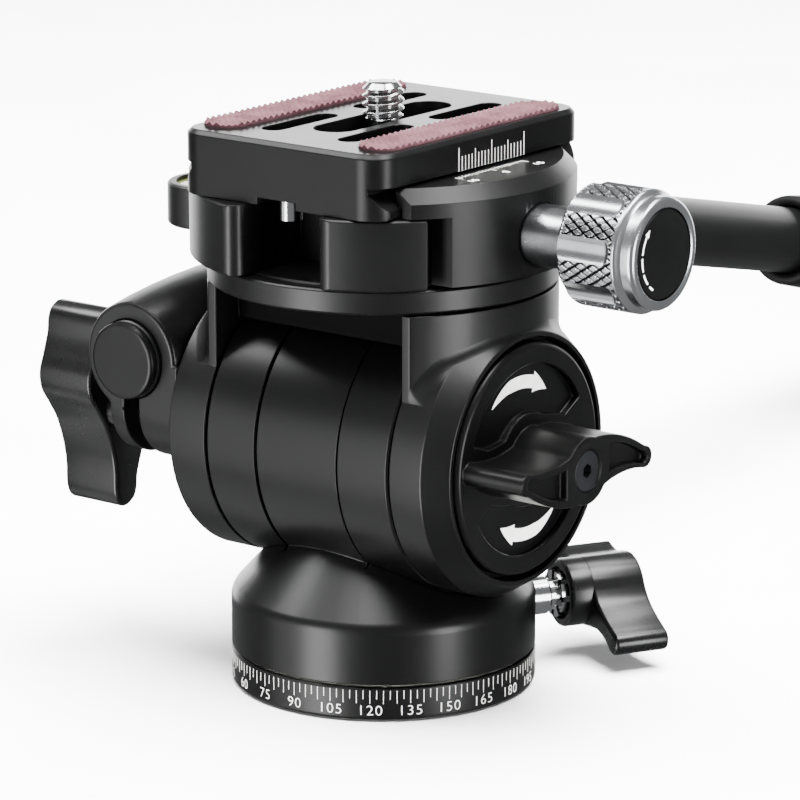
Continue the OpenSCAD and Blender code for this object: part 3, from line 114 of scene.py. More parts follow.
def piece(name, points, faces, body, material, sharp=40.0, outward=True):
    """An object at the origin from points in millimetres, with its faces turned outwards."""
    mesh = bpy.data.meshes.new(name)
    mesh.from_pydata(np.asarray(points).reshape(-1, 3) * MM, [], [list(f) for f in faces])
    if outward:
        shell = bmesh.new()
        shell.from_mesh(mesh)
        bmesh.ops.remove_doubles(shell, verts=shell.verts, dist=1e-7)
        bmesh.ops.dissolve_degenerate(shell, edges=shell.edges, dist=1e-7)
        bmesh.ops.recalc_face_normals(shell, faces=shell.faces)
        shell.to_mesh(mesh)
        shell.free()
    mesh.shade_smooth()
    mesh.set_sharp_from_angle(angle=math.radians(sharp))
    made = bpy.data.objects.new(name, mesh)
    scene.collection.objects.link(made)
    mesh.materials.append(material)
    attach(made, body)
    print(name, "faces:", len(mesh.polygons))
    return made


def capped(grid):
    """Quads of a tube of points (rows along it, columns round it) and one flat face at each end."""
    rows, columns = grid.shape[:2]
    ends = [list(range(columns)), list(range((rows - 1) * columns, rows * columns))]
    return quads(rows, columns, close_columns=True).tolist() + ends


# %% [markdown]
# ## Finishes
# Each finish starts from the real one: what it is made of and how its surface was made.
# Colours are sRGB codes turned to linear light, patterns are sized in millimetres on the
# Object coordinates, and the grain reaches the light as a bump and as changing roughness.


# %% Colour and nodes
def linear(code):
    """sRGB to linear light: divided by 12.92 near black, otherwise raised to the power of 2.4."""
    channel = np.array([int(code[i:i + 2], 16) for i in (1, 3, 5)]) / 255
    value = np.where(channel <= 0.04045, channel / 12.92, ((channel + 0.055) / 1.055) ** 2.4)
    return (*value.tolist(), 1.0)


def add(tree, kind, inputs=None, **settings):
    """Adds one node, sets its own settings, and fills its inputs with values or links."""
    made = tree.nodes.new(kind)
    for name, value in settings.items():
        setattr(made, name, value)
    for name, value in (inputs or {}).items():
        if isinstance(value, bpy.types.NodeSocket):
            tree.links.new(value, made.inputs[name])
        else:
            made.inputs[name].default_value = value
    return made


def finish(name, tones, rough, grain, relief, cloud=9.0, lines=None, **sockets):
    """Two tones mixed by a soft cloud, a roughness that follows it, and a grain that tilts the surface.

    grain and cloud are sizes in millimetres, relief is the grain's height, lines is an axis and a
    spacing for tool marks, and sockets are constants of the shader."""
    made = bpy.data.materials.new(name)
    made.use_nodes = True
    tree = made.node_tree
    shader = tree.nodes["Principled BSDF"]
    where = add(tree, "ShaderNodeTexCoord").outputs["Object"]
    soft = add(tree, "ShaderNodeTexNoise", {"Vector": where, "Scale": 1 / (cloud * MM), "Detail": 3.0})
    fine = add(tree, "ShaderNodeTexNoise", {"Vector": where, "Scale": 1 / (grain * MM), "Detail": 2.0})
    mixed = add(tree, "ShaderNodeMath", {0: soft.outputs["Fac"], 1: fine.outputs["Fac"]}, operation="ADD")
    spread = add(tree, "ShaderNodeMapRange",
                 {"Value": mixed.outputs["Value"], "From Min": 0.7, "From Max": 1.3,
                  "To Min": rough[0], "To Max": rough[1]})
    ramp = add(tree, "ShaderNodeValToRGB", {"Fac": soft.outputs["Fac"]})
    ramp.color_ramp.elements[0].position = 0.35
    ramp.color_ramp.elements[0].color = linear(tones[0])
    ramp.color_ramp.elements[1].position = 0.65
    ramp.color_ramp.elements[1].color = linear(tones[1])
    tilt = add(tree, "ShaderNodeBump",
               {"Height": fine.outputs["Fac"], "Strength": 1.0, "Distance": relief * MM})
    if lines:
        marks = add(tree, "ShaderNodeTexWave", {"Vector": where, "Scale": math.pi / 10 / (lines[1] * MM),
                                                "Distortion": 0.6, "Detail": 1.0}, bands_direction=lines[0])
        tilt = add(tree, "ShaderNodeBump", {"Height": marks.outputs["Fac"], "Normal": tilt.outputs["Normal"],
                                            "Strength": 1.0, "Distance": relief * MM})
    tree.links.new(ramp.outputs["Color"], shader.inputs["Base Color"])
    tree.links.new(spread.outputs["Result"], shader.inputs["Roughness"])
    tree.links.new(tilt.outputs["Normal"], shader.inputs["Normal"])
    for socket, value in sockets.items():
        shader.inputs[socket.replace("_", " ")].default_value = value
    print("finish:", name)
    return made


# %% Metals
# Bead-blasted aluminium under a hard black oxide: deep black with a broad satin sheen. The
# blast is drawn at 0.22 mm, several times its true size, so that it shows at all.
satin_black = finish("black_hard_anodised", ("#020202", "#040404"), (0.32, 0.40), 0.22, 0.0009, cloud=22.0,
                     Specular_IOR_Level=0.4)
# The same oxide on a turned and polished skin: darker, with long soft reflections.
gloss_black = finish("black_polished_anodised", ("#020202", "#030303"), (0.3, 0.34), 0.6, 0.0004, cloud=30.0,
                     Specular_IOR_Level=0.4)
# Die-cast zinc under baked black lacquer: smooth, with the slight waviness of a thick coat.
lacquer = finish("black_lacquered_zinc", ("#020202", "#040404"), (0.26, 0.3), 2.6, 0.0002, cloud=20.0,
                 Specular_IOR_Level=0.55)
# Turned stainless steel: pale, a little warm, with fine rings left by the tool.
stainless = finish("turned_stainless", ("#b8b9bb", "#d2d2d1"), (0.1, 0.2), 0.4, 0.0012, Metallic=1.0)
# Clear-anodised aluminium: white silver with a satin skin and fine turning lines along X.
silver = finish("silver_anodised_aluminium", ("#c2c4c7", "#d2d4d6"), (0.2, 0.27), 0.25, 0.0008,
                lines=("X", 0.3), Metallic=1.0)
# Black-zinc plate of the small socket screws: dark grey, with a dull even sheen.
zinc = finish("dark_zinc_plate", ("#54565a", "#64666a"), (0.34, 0.44), 0.3, 0.002, Metallic=1.0)
# Painted shade: a near-black metal on the bottoms of the knurl's grooves, where shade falls.
knurl_painted_shade = finish("knurl_groove_painted_shade", ("#1c1d1f", "#2a2b2e"), (0.36, 0.46), 0.3, 0.002, Metallic=1.0)
# Oil-soaked sintered bronze: brown gold, matt from its pores.
bronze = finish("sintered_bronze", ("#8a6236", "#b08850"), (0.38, 0.5), 0.35, 0.006, Metallic=1.0)

# The black oxide again, on the milled plate and jaw, which the maker leaves duller.
milled_black = finish("black_milled_oxide", ("#020202", "#040404"), (0.32, 0.40), 0.22, 0.0009, cloud=22.0,
                      Specular_IOR_Level=0.25)
# The black oxide on a fine-ground flat: black from above, and a bright sheen at a low angle.
ground_black = finish("black_fine_ground_oxide", ("#020202", "#040404"), (0.27, 0.32), 0.22, 0.0005,
                      cloud=22.0, Specular_IOR_Level=1.0)
# Painted shade: a blacker, duller oxide for the faces between the yoke's arms, which lie in shade under the
# platform.
yoke_painted_shade = finish("yoke_inside_painted_shade", ("#010101", "#020202"), (0.6, 0.7), 0.3, 0.003, cloud=12.0,
                   Specular_IOR_Level=0.05)

# %% Plastics, rubber and ink
# Glass-filled nylon from a spark-eroded mould: charcoal, with a fine dull texture.
nylon = finish("moulded_black_nylon", ("#030303", "#050505"), (0.3, 0.36), 0.28, 0.002, cloud=16.0,
               Specular_IOR_Level=0.3)
# White acetal of the slip rings: milky and waxy.
acetal = finish("white_acetal", ("#d8d5cb", "#e8e5dc"), (0.35, 0.45), 0.4, 0.001, IOR=1.48)
# Dusty mauve silicone: soft and matt, paler where the peaks have been rubbed.
mauve = finish("mauve_silicone", ("#392428", "#483135"), (0.5, 0.62), 0.3, 0.004, cloud=3.0,
               Specular_IOR_Level=0.1)
# The dark sheet that the silicone is moulded on.
underlay = finish("dark_pad_underlay", ("#2a1c1f", "#3a282c"), (0.6, 0.7), 0.3, 0.004, IOR=1.5)
# Black moulded rubber of the grip: deep and soft, with a dry bloom.
grip_rubber = finish("black_grip_rubber", ("#020202", "#040404"), (0.5, 0.6), 0.4, 0.008,
                     Specular_IOR_Level=0.25)
# White pad-print ink: chalky, slightly uneven.
ink = finish("white_pad_print", ("#e2e2de", "#f4f4f1"), (0.55, 0.65), 0.2, 0.001, cloud=2.0, IOR=1.5)
# Spirit in the level's vial: yellow green, seen through a glossy acrylic lens.
spirit = finish("green_spirit_in_acrylic", ("#33371c", "#444a2a"), (0.05, 0.08), 0.5, 0.0002, cloud=4.0,
                IOR=1.49)
bubble_skin = finish("pale_bubble", ("#dfe7b8", "#eef2d6"), (0.05, 0.08), 0.5, 0.0002, cloud=2.0, IOR=1.33)

# %% [markdown]
# ## Every solid gets its finish
# The pieces inside are seen when the head is opened or looked at from below, so they are
# finished too. A finish goes into the solid's own material slots, and its mesh stays.

# %% Finishes of the solids
finish_of = {
    stainless: ["thread_bush", "pan_spindle", "pan_nut", "pan_spring_washer", "damper_stators",
                "damper_rotors", "tilt_axle", "jaw_pins", "clamp_stud", "stud_clip", "screw_clip",
                "pan_lock_insert", "pan_lock_stud", "tilt_pressure_ring", "bar_wing_stud",
                "plate_stop_screws", "camera_screw"],
    zinc: ["base_screws", "drum_screws", "axle_bolt", "platform_screws", "clamp_screws", "socket_screws",
           "tilt_lock_screw"],
    bronze: ["pan_bush", "tilt_bushes", "ear_nut", "tilt_lock_nut", "pan_brake_shoe"],
    acetal: ["thrust_washer", "pan_damping_disc", "tilt_lining"],
    silver: ["clamp_knob"],
    gloss_black: ["pan_housing", "drum_cap_left", "drum_cap_right"],
    satin_black: ["index_ring", "tilt_yoke", "platform_disc", "clamp_body", "clamp_jaw", "quick_plate",
                  "bar_socket", "bar_tube"],
    lacquer: ["pan_lock_lever", "bar_wing"],
    nylon: ["tilt_lock_knob", "clamp_knob_disc", "bar_front_plug", "grip_end_plug"],
    mauve: ["plate_pad_left", "plate_pad_right"],
    grip_rubber: ["bar_grip"],
    spirit: ["level_vial"],
}
for material, names in finish_of.items():
    for name in names:
        for place in frame["nodes"][name].material_slots:
            place.material = material
bare = sorted(set(frame["nodes"]) - {name for names in finish_of.values() for name in names})
print("solids without a finish:", bare)

# %% [markdown]
# ## Eased edges
# No machined edge is a knife edge: it is broken with a tool, and the narrow facet catches a
# bright line of light. The line could be painted, but it would be wrong from every other
# side. So each visible solid is copied, its loose triangles are merged and its flat ones
# joined, and a Bevel modifier rounds every sharp edge by a few tenths of a millimetre.


# %% Eased copies of the machined solids
def eased(node, material, width, segments=2, angle=28.0):
    """A copy of a solid with its doubles merged, flat triangles joined and its sharp edges bevelled.

    The solid's stored normals no longer fit the copy, so they go, and large faces lead the new ones."""
    mesh = frame["nodes"][node].data.copy()
    if mesh.has_custom_normals:
        mesh.attributes.remove(mesh.attributes["custom_normal"])
    shell = bmesh.new()
    shell.from_mesh(mesh)
    bmesh.ops.remove_doubles(shell, verts=shell.verts, dist=2e-6)
    bmesh.ops.dissolve_degenerate(shell, edges=shell.edges, dist=2e-6)
    bmesh.ops.dissolve_limit(shell, angle_limit=math.radians(0.4), verts=shell.verts, edges=shell.edges)
    shell.to_mesh(mesh)
    shell.free()
    mesh.materials.clear()
    mesh.materials.append(material)
    mesh.shade_smooth()
    if "sharp_edge" in mesh.attributes:
        mesh.attributes.remove(mesh.attributes["sharp_edge"])
    made = bpy.data.objects.new("eased_" + node, mesh)
    scene.collection.objects.link(made)
    edge = made.modifiers.new("eased edge", "BEVEL")
    edge.width = width * MM
    edge.segments = segments
    edge.limit_method = "ANGLE"
    edge.angle_limit = math.radians(angle)
    edge.use_clamp_overlap = False
    even = made.modifiers.new("even shading", "WEIGHTED_NORMAL")
    even.mode = "FACE_AREA"
    even.weight = 50
    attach(made, frame["nodes"][node]["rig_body"])
    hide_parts(node)
    return made


eased_nodes = [
    ("index_ring", satin_black, "black_anodised", 0.25),
    ("pan_housing", gloss_black, "black_anodised", 0.15),
    ("drum_cap_left", gloss_black, "black_anodised", 0.12),
    ("drum_cap_right", gloss_black, "black_anodised", 0.12),
    ("tilt_yoke", satin_black, "black_anodised", 0.2),
    ("platform_disc", satin_black, "black_anodised", 0.12),
    ("clamp_body", satin_black, "black_anodised", 0.15),
    ("clamp_jaw", milled_black, "black_anodised", 0.1),
    ("quick_plate", milled_black, "black_anodised", 0.15),
    ("bar_socket", satin_black, "black_anodised", 0.3),
    ("tilt_lock_knob", nylon, "black_moulded", 0.25),
    ("bar_front_plug", nylon, "black_moulded", 0.35),
]
coated = {}
for node, material, slot, width in eased_nodes:
    coated[node] = eased(node, material, width)
# Where a bore runs out at a low angle, an offset could run far along the flank. The jaw's bevel
# is measured by its own width, and the socket's doesn't slide, so both stay short.
coated["clamp_jaw"].modifiers["eased edge"].offset_type = "WIDTH"
coated["bar_socket"].modifiers["eased edge"].loop_slide = False
print("eased solids:", len(eased_nodes))


# %% Ground tops, and painted shade inside the yoke
def faces_of(made):
    """Middles in millimetres and normals of an object's faces, as arrays."""
    count = len(made.data.polygons)
    middles = np.empty(count * 3)
    made.data.polygons.foreach_get("center", middles)
    facing = np.empty(count * 3)
    made.data.polygons.foreach_get("normal", facing)
    return middles.reshape(-1, 3) / MM, facing.reshape(-1, 3)


def second_finish(made, chosen, material):
    """Gives the chosen faces of an object a second finish."""
    made.data.materials.append(material)
    made.data.polygons.foreach_set("material_index", chosen.astype(np.int32))
    print(made.name, "faces in", material.name, int(chosen.sum()))


for node, lowest in (("quick_plate", 87.0), ("clamp_jaw", 81.5)):
    middles, facing = faces_of(coated[node])
    second_finish(coated[node], (facing[:, 2] > 0.9) & (middles[:, 2] > lowest), ground_black)
YOKE_GAP = 16.0
YOKE_LOWEST = 45
# Painted shade: faces between the arms above 45 mm that don't face up take the blacker finish, for the shade
# under the platform.
middles, facing = faces_of(coated["tilt_yoke"])
between = (np.abs(middles[:, 0]) < YOKE_GAP) & (np.abs(facing[:, 0]) < 0.7)
second_finish(coated["tilt_yoke"], between & (facing[:, 2] < 0.5) & (middles[:, 2] > YOKE_LOWEST), yoke_painted_shade)

# %% [markdown]
# ## Fillets of the yoke
# Where an arm runs into its round boss, the casting has a hollow fillet that catches a bright
# curved line. At every distance y along the seam the arm's outline is upright and the boss's
# outline falls away, so a circle laid against both gives the fillet's section there.


# %% Fillets between arms and bosses
TILT_Z = 38.85
BOSS_R = 21.6
CONE_SLOPE = 0.622
COLUMN_R = 26.7
FILLET_R = 2.6
FILLET_SINK = 0.02
FILLET_ROOT = 0.6
ARM_HALF_Y = 18.54


def boss_height(x, y, cone_from):
    """Height of a boss above the tilt axis: a cylinder, and beyond cone_from a cone."""
    radius = BOSS_R - CONE_SLOPE * np.clip(x - cone_from, 0, None)
    return np.sqrt(radius ** 2 - y ** 2)


def fillet(y, cone_from, face_x, reach):
    """Sections in the (x, z) plane at each y: a hollow arc from arm to boss, closed inside the metal.

    The circle's centre lies one radius outside the arm. It rests on the cylinder, on the cone, or
    between them on the cone's edge, and fall is the slope of the boss under its resting point."""
    arm = np.sqrt(COLUMN_R ** 2 - y ** 2)
    radius = np.minimum(FILLET_R, (face_x - arm) / reach)
    slope = np.arctan(CONE_SLOPE * BOSS_R / boss_height(arm, y, cone_from))
    fall = np.arcsin(np.clip((arm + radius - cone_from) / radius, 0, np.sin(slope)))
    foot = arm + radius * (1 - np.sin(fall))
    centre_z = boss_height(foot, y, cone_from) + radius * np.cos(fall)
    turn = np.linspace(0, 1, 13)[None, :] * (np.pi / 2 - fall)[:, None]
    arc_x = (arm + radius)[:, None] - radius[:, None] * np.cos(turn) - FILLET_SINK
    arc_z = centre_z[:, None] - radius[:, None] * np.sin(turn) - FILLET_SINK
    x = np.hstack([arc_x, arm[:, None] - FILLET_ROOT])
    z = np.hstack([arc_z, boss_height(arm, y, cone_from)[:, None] - FILLET_ROOT])
    return np.stack([x, np.repeat(y[:, None], 14, axis=1), z + TILT_Z], axis=-1)


for side, cone_from, face_x, reach, ends_y in ((1, 23.5, 27.1, 0.55, 1.0), (-1, 90.0, 24.6, 1.0, 10.6)):
    for way in (-1, 1):
        seam = fillet(way * np.linspace(ARM_HALF_Y, ends_y, 60), cone_from, face_x, reach) * [side, 1, 1]
        hand = ("left", "right")[side > 0] + ("_front", "_rear")[way > 0]
        piece("arm_fillet_" + hand, seam, capped(seam), "tilt", satin_black, sharp=50.0)

# %% [markdown]
# ## Winged levers
# Both wing levers are die-castings with an S-shaped outline, thick at the screw and curling
# out to rounded tips. A bevelled block would keep flat flanks, so the outline is drawn as a
# smooth loop through a few measured points and carried along the lever's width; near each
# end the loop draws in along a quarter circle, which rounds the rims.


# %% Swept levers
def smooth_loop(corners, steps=12):
    """Closed Catmull-Rom curve: between two points, a cubic that leaves along their neighbours' chord."""
    p1 = np.asarray(corners, float)
    p0, p2, p3 = np.roll(p1, 1, axis=0), np.roll(p1, -1, axis=0), np.roll(p1, -2, axis=0)
    t = np.linspace(0, 1, steps, endpoint=False)[None, :, None]
    a, b, c, d = (p[:, None, :] for p in (p0, p1, p2, p3))
    straight = 2 * b + (c - a) * t
    square = (2 * a - 5 * b + 4 * c - d) * t ** 2
    cube = (3 * b - a - 3 * c + d) * t ** 3
    return (0.5 * (straight + square + cube)).reshape(-1, 2)


def swept(loop, start, end, rim):
    """The loop carried from start to end; inset by rim times 1 - sin near both ends. Gives (width, u, v)."""
    way = np.roll(loop, -1, axis=0) - np.roll(loop, 1, axis=0)
    inward = np.column_stack([-way[:, 1], way[:, 0]]) / np.linalg.norm(way, axis=1)[:, None]
    area = np.sum(loop[:, 0] * np.roll(loop[:, 1], -1) - loop[:, 1] * np.roll(loop[:, 0], -1))
    turn = np.linspace(0, np.pi / 2, 6)
    inset = rim * (1 - np.sin(turn))
    width = np.concatenate([start + rim * (1 - np.cos(turn)), end - rim * (1 - np.cos(turn[::-1]))])
    drawn = np.concatenate([inset, inset[::-1]])[:, None, None] * inward * np.sign(area)
    across = np.broadcast_to(width[:, None, None], drawn.shape[:2] + (1,))
    return np.concatenate([across, loop + drawn], axis=-1)


WING_Y = -8.0
WING_Z = 36.7
half = np.array([[-1.8, 16.5], [-3.6, 15.6], [-4.4, 14.0], [-4.7, 11.6], [-5.7, 8.6], [-6.7, 5.6],
                 [-6.3, 2.7], [-4.6, 0.1], [-2.8, -2.9], [-1.4, -7.0], [-0.8, -10.4], [-0.7, -13.9],
                 [0.1, -15.9]])
wing_loop = smooth_loop(np.vstack([half, -half]))
wing = swept(wing_loop, -57.7, -46.7, 0.7) + [0, WING_Y, WING_Z]
made = piece("swept_bar_wing", wing, capped(wing), "bar_wing", lacquer, sharp=50.0)
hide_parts("bar_wing")
spin = np.linspace(0, 2 * np.pi, 64, endpoint=False)
neck_x = np.array([-46.9, -39.0, -38.6, -38.4])
neck_r = np.array([3.1, 3.1, 2.95, 2.6])
neck = np.stack([np.repeat(neck_x[:, None], 64, axis=1), WING_Y + neck_r[:, None] * np.cos(spin),
                 WING_Z + neck_r[:, None] * np.sin(spin)], axis=-1)
piece("bar_wing_neck", neck, capped(neck), "bar_wing", lacquer)

LOCK_TURN = math.radians(60)
LOCK_Z = 9.5


def on_pan_lock(points):
    """From (distance along the pan lock's axis, across, up) to the frame: the axis lies at 60 degrees."""
    far, across, up = points[..., 0], points[..., 1], points[..., 2]
    return np.stack([far * math.cos(LOCK_TURN) - across * math.sin(LOCK_TURN),
                     far * math.sin(LOCK_TURN) + across * math.cos(LOCK_TURN), LOCK_Z + up], axis=-1)


lever_loop = smooth_loop([(-12.8, -7.0), (-13.9, -6.3), (-14.2, -5.0), (-13.6, -3.9), (-12.2, -3.2),
                          (-9.5, -2.0), (-7.0, -0.4), (-5.5, 1.3), (-4.5, 3.0), (-2.8, 4.6),
                          (-0.4, 5.4), (2.0, 5.1), (4.4, 4.4), (6.6, 4.7), (8.0, 5.0), (8.7, 4.1),
                          (8.0, 2.7), (6.2, 1.2), (5.3, -0.9), (4.3, -3.3), (2.2, -5.0), (-0.6, -5.4),
                          (-3.6, -5.0), (-6.4, -4.7), (-8.6, -5.1), (-10.4, -5.9), (-11.6, -6.7)])
lever = on_pan_lock(swept(lever_loop, 33.1, 42.3, 0.6))
made = piece("swept_pan_lever", lever, capped(lever), "pan_lock", lacquer, sharp=50.0)
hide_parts("pan_lock_lever")
barrel_far = np.array([33.6, 33.6, 30.9, 30.9, 29.72, 29.7, 29.74, 29.9, 30.2, 33.5, 33.6])
barrel_r = np.array([0.05, 3.72, 3.72, 4.2, 4.2, 4.6, 5.1, 5.3, 5.4, 5.4, 0.05])
barrel = on_pan_lock(np.stack([np.repeat(barrel_far[:, None], 64, axis=1), barrel_r[:, None] * np.cos(spin),
                               barrel_r[:, None] * np.sin(spin)], axis=-1))
piece("pan_lever_mouth", barrel, capped(barrel), "pan_lock", lacquer)

# %% [markdown]
# ## The knurled clamp knob
# The knob is turned from aluminium, fluted with a ball-nosed cutter and then rolled with a
# diamond knurl on the lands between the flutes. Real knurls are two crossing sets of helical
# grooves, so the radius is simply a function of angle and length: the turned outline, minus
# the flute where it cuts deeper, minus the V of the nearest groove.

# %% Knurled knob
KNOB_Z = 73.5
flutes = 8
starts = 40
land_r = 9.2
knurl_rows = 108
along = np.concatenate([[28.9, 28.9, 29.1, 38.25, 38.3, 38.3], np.linspace(38.45, 39.1, 6),
                        np.linspace(39.2, 48.5, knurl_rows),
                        [48.7, 48.9, 49.1, 49.4, 50.6, 50.85, 51.1, 51.3, 51.45, 51.5],
                        [51.5, 51.42, 51.3, 50.4]])
outline = np.concatenate([[0.05, 4.3, 4.6, 4.6, 4.62, 8.5],
                          8.6 + 0.6 * np.sqrt(np.linspace(0.05, 1, 6)), np.full(knurl_rows, land_r),
                          [9.1, 8.9, 8.6, 8.4, 8.4, 8.38, 8.28, 8.1, 7.85, 7.6],
                          [7.2, 7.0, 6.85, 6.75]])
turn = np.linspace(0, 2 * np.pi, 720, endpoint=False)
length, angle = np.meshgrid(along, turn, indexing="ij")
radius = np.repeat(outline[:, None], turn.size, axis=1)


def flute_floor(angle, length):
    """Distance of the flute's round bottom from the axis; it lifts out in a curve before the front ring."""
    off = (angle - math.radians(38) + math.pi / flutes) % (2 * math.pi / flutes) - math.pi / flutes
    lift = 1.3 * np.clip((length - 46.6) / 1.6, 0, None) ** 2
    centre = 11.65 + lift
    reach = 3.2 ** 2 - (centre * np.sin(off)) ** 2
    return np.where(reach > 0, centre * np.cos(off) - np.sqrt(np.maximum(reach, 0)), 99.0)


def groove(phase, sharpness=2.9):
    """0 at the bottom of a groove and 1 on the flat between two grooves, from the phase in turns."""
    return np.clip(sharpness * 2 * np.abs((phase + 0.5) % 1 - 0.5), 0, 1)


def knurl(angle, length, lead=2.2):
    """Share of the knurl's depth: the deeper of two crossing helical grooves, on the lands only."""
    rising = groove(starts * angle / (2 * np.pi) + length / lead)
    falling = groove(starts * angle / (2 * np.pi) - length / lead)
    band = np.clip((length - 39.0) / 0.3, 0, 1) * np.clip((48.2 - length) / 0.3, 0, 1)
    land = (flute_floor(angle, length) > land_r + 0.02) & (length > 38.6) & (length < 48.6)
    return np.where(land, band * (1 - np.minimum(rising, falling)), 0)


in_grip = (length > 38.29) & (length < 49.0)
fluted = np.where(in_grip, np.minimum(radius, flute_floor(angle, length)), radius)
KNURL_DEPTH = 0.55
radius = fluted - KNURL_DEPTH * knurl(angle, length)
knob_points = np.stack([length, radius * np.cos(angle), KNOB_Z + radius * np.sin(angle)], axis=-1)
knob = piece("knurled_knob", knob_points, capped(knob_points), "clamp_knob", silver,
             sharp=30.0)
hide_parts("clamp_knob")
middles, facing = faces_of(knob)
depth = knurl(np.arctan2(middles[:, 2] - KNOB_Z, middles[:, 1]) % (2 * np.pi), middles[:, 0])
# The knurl's deepest faces take the painted shade of the grooves.
second_finish(knob, depth > 0.45, knurl_painted_shade)

# %% [markdown]
# ## The camera screw
# A quarter-inch screw has twenty threads to the inch. A thread is a radius that depends on
# height and angle together: one turn of angle shifts the V by one pitch. The crest and the
# root are a little flat, and the last thread runs out on the chamfered tip.

# %% Camera screw
pitch = 25.4 / 20
crest = 3.175
root = 2.42
tip_z = 93.05
spin = np.linspace(0, 2 * np.pi, 128, endpoint=False)
thread_z = np.linspace(87.0, tip_z, 150)
level_z, round_angle = np.meshgrid(thread_z, spin, indexing="ij")
wave = np.abs(((level_z / pitch - round_angle / (2 * np.pi)) % 1) - 0.5) * 2
thread_r = root + (crest - root) * np.clip(1.35 * wave - 0.12, 0, 1)
thread_r = np.minimum(thread_r, 2.2 + (tip_z - level_z) * 0.95)
thread_r = np.minimum(thread_r, 2.6 + np.clip(level_z - 87.5, 0, 1))
head_z = np.array([77.95, 77.95, 78.3, 80.2, 80.55, 80.55, 80.6, 86.9])
head_r = np.array([5.9, 6.05, 6.4, 6.4, 6.05, 2.75, 2.6, 2.6])
screw_z = np.vstack([np.repeat(head_z[:, None], spin.size, axis=1), level_z])
screw_r = np.vstack([np.repeat(head_r[:, None], spin.size, axis=1), thread_r])
around = np.broadcast_to(spin, screw_r.shape)
screw_points = np.stack([screw_r * np.cos(around), screw_r * np.sin(around), screw_z], axis=-1)
screw = piece("threaded_camera_screw", screw_points, capped(screw_points), "camera_screw", stainless,
              sharp=50.0)
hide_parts("camera_screw")

# %% [markdown]
# ## Rubber pads with pyramids
# The pads are moulded silicone covered in small pyramids that grip a camera's base. A height
# field does it: over the pad's outline, the height is the smaller of two triangle waves, one
# across the pad and one along it, with a ridge on the pad's long edges.
# Points beyond the round ends are drawn in to the outline, so the last pyramids are cut off
# cleanly, and a dark sheet below them fills the seat.

# %% Pyramid pads
PAD_HALF = 3.4
PAD_END = 22.5
PAD_Z = 88.1
PYRAMIDS = (5, 33)
PYRAMID_H = 0.45
across = np.linspace(-PAD_HALF, PAD_HALF, 10 * PYRAMIDS[0] + 1)
lengthwise = np.linspace(-PAD_END, PAD_END, 10 * PYRAMIDS[1] + 1)


def stadium(x, y):
    """Draws points beyond the half-round ends in to the outline, towards the end's centre."""
    centre = PAD_END - PAD_HALF
    beyond = np.clip(np.abs(y) - centre, 0, None)
    far = np.hypot(x, beyond)
    shrink = np.where((beyond > 0) & (far > PAD_HALF), PAD_HALF / np.maximum(far, 1e-6), 1.0)
    return x * shrink, np.sign(y) * (np.minimum(np.abs(y), centre) + beyond * shrink)


def triangle(place, half, count):
    """A wave of straight flanks, count periods from -half to half: 1 on ridges, 0 in valleys."""
    return np.abs((place / half + 1) * count / 2 % 1 - 0.5) * 2


wide, deep = np.meshgrid(across, lengthwise, indexing="ij")
pad_x, pad_y = stadium(wide, deep)
peak = np.minimum(triangle(pad_x, PAD_HALF, PYRAMIDS[0]), triangle(pad_y, PAD_END, PYRAMIDS[1]))
pad_top = PAD_Z + PYRAMID_H * np.clip(1.12 * peak, 0, 1)
pad_rows, pad_columns = peak.shape
layer = quads(pad_rows, pad_columns)
ring_index = np.concatenate([np.arange(pad_columns), np.arange(2, pad_rows) * pad_columns - 1,
                             pad_rows * pad_columns - 1 - np.arange(pad_columns),
                             np.arange(pad_rows - 2, 0, -1) * pad_columns])
side = np.stack([ring_index, np.roll(ring_index, -1)], axis=1)
walls = np.column_stack([side, side[:, ::-1] + peak.size])
pad_faces = np.vstack([layer, layer[:, ::-1] + peak.size, walls])


def layers(middle, top, low):
    """An upper and a lower sheet of the pad's points, about a middle line and at two heights."""
    return np.stack([np.stack([pad_x + middle, pad_y, 0 * pad_x + height], -1) for height in (top, low)])


for side_name, middle in (("left", -14.6), ("right", 14.6)):
    skin = layers(middle, pad_top, 87.8)
    made = piece("pyramid_pad_" + side_name, skin, pad_faces, "plate", mauve, sharp=20.0)
    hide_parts("plate_pad_" + side_name)
    sheet = layers(middle, 87.85, 87.25)
    piece("pad_sheet_" + side_name, sheet, pad_faces, "plate", underlay, sharp=20.0)

# %% [markdown]
# ## The pan bar and its grip
# The bar is a tube bent once, and the grip is a rubber sleeve with a rolled mouth. Both are a
# circle carried along a path: a straight stretch, an arc, and a straight drooping stretch.
# The circle's plane turns with the path, so the tube keeps its width in the bend.

# %% Bent bar and grip
BAR_X = -34.0
BAR_Z = 48.9
bend_y = 104.0
droop = math.radians(12.5)
bend_r = 70.0
tangent = bend_r * math.tan(droop / 2)


def bar_path(distance):
    """Point and direction on the bar's middle line, by the distance from the tilt axis along it."""
    start = bend_y - tangent
    arc = bend_r * droop
    turned = np.clip((distance - start) / bend_r, 0, droop)
    before = np.minimum(distance, start)
    after = np.clip(distance - start - arc, 0, None)
    y = before + bend_r * np.sin(turned) + after * math.cos(droop)
    z = BAR_Z - bend_r * (1 - np.cos(turned)) - after * math.sin(droop)
    return y, z, turned


def sleeve(distance, radius, columns=96):
    """A circle of the given radius carried along the bar: its plane leans by the path's own angle."""
    y, z, lean = bar_path(distance)
    round_angle = np.linspace(0, 2 * np.pi, columns, endpoint=False)
    side_way = radius[:, None] * np.cos(round_angle)
    up_way = radius[:, None] * np.sin(round_angle)
    return np.stack([BAR_X + side_way, y[:, None] + up_way * np.sin(lean)[:, None],
                     z[:, None] + up_way * np.cos(lean)[:, None]], axis=-1)


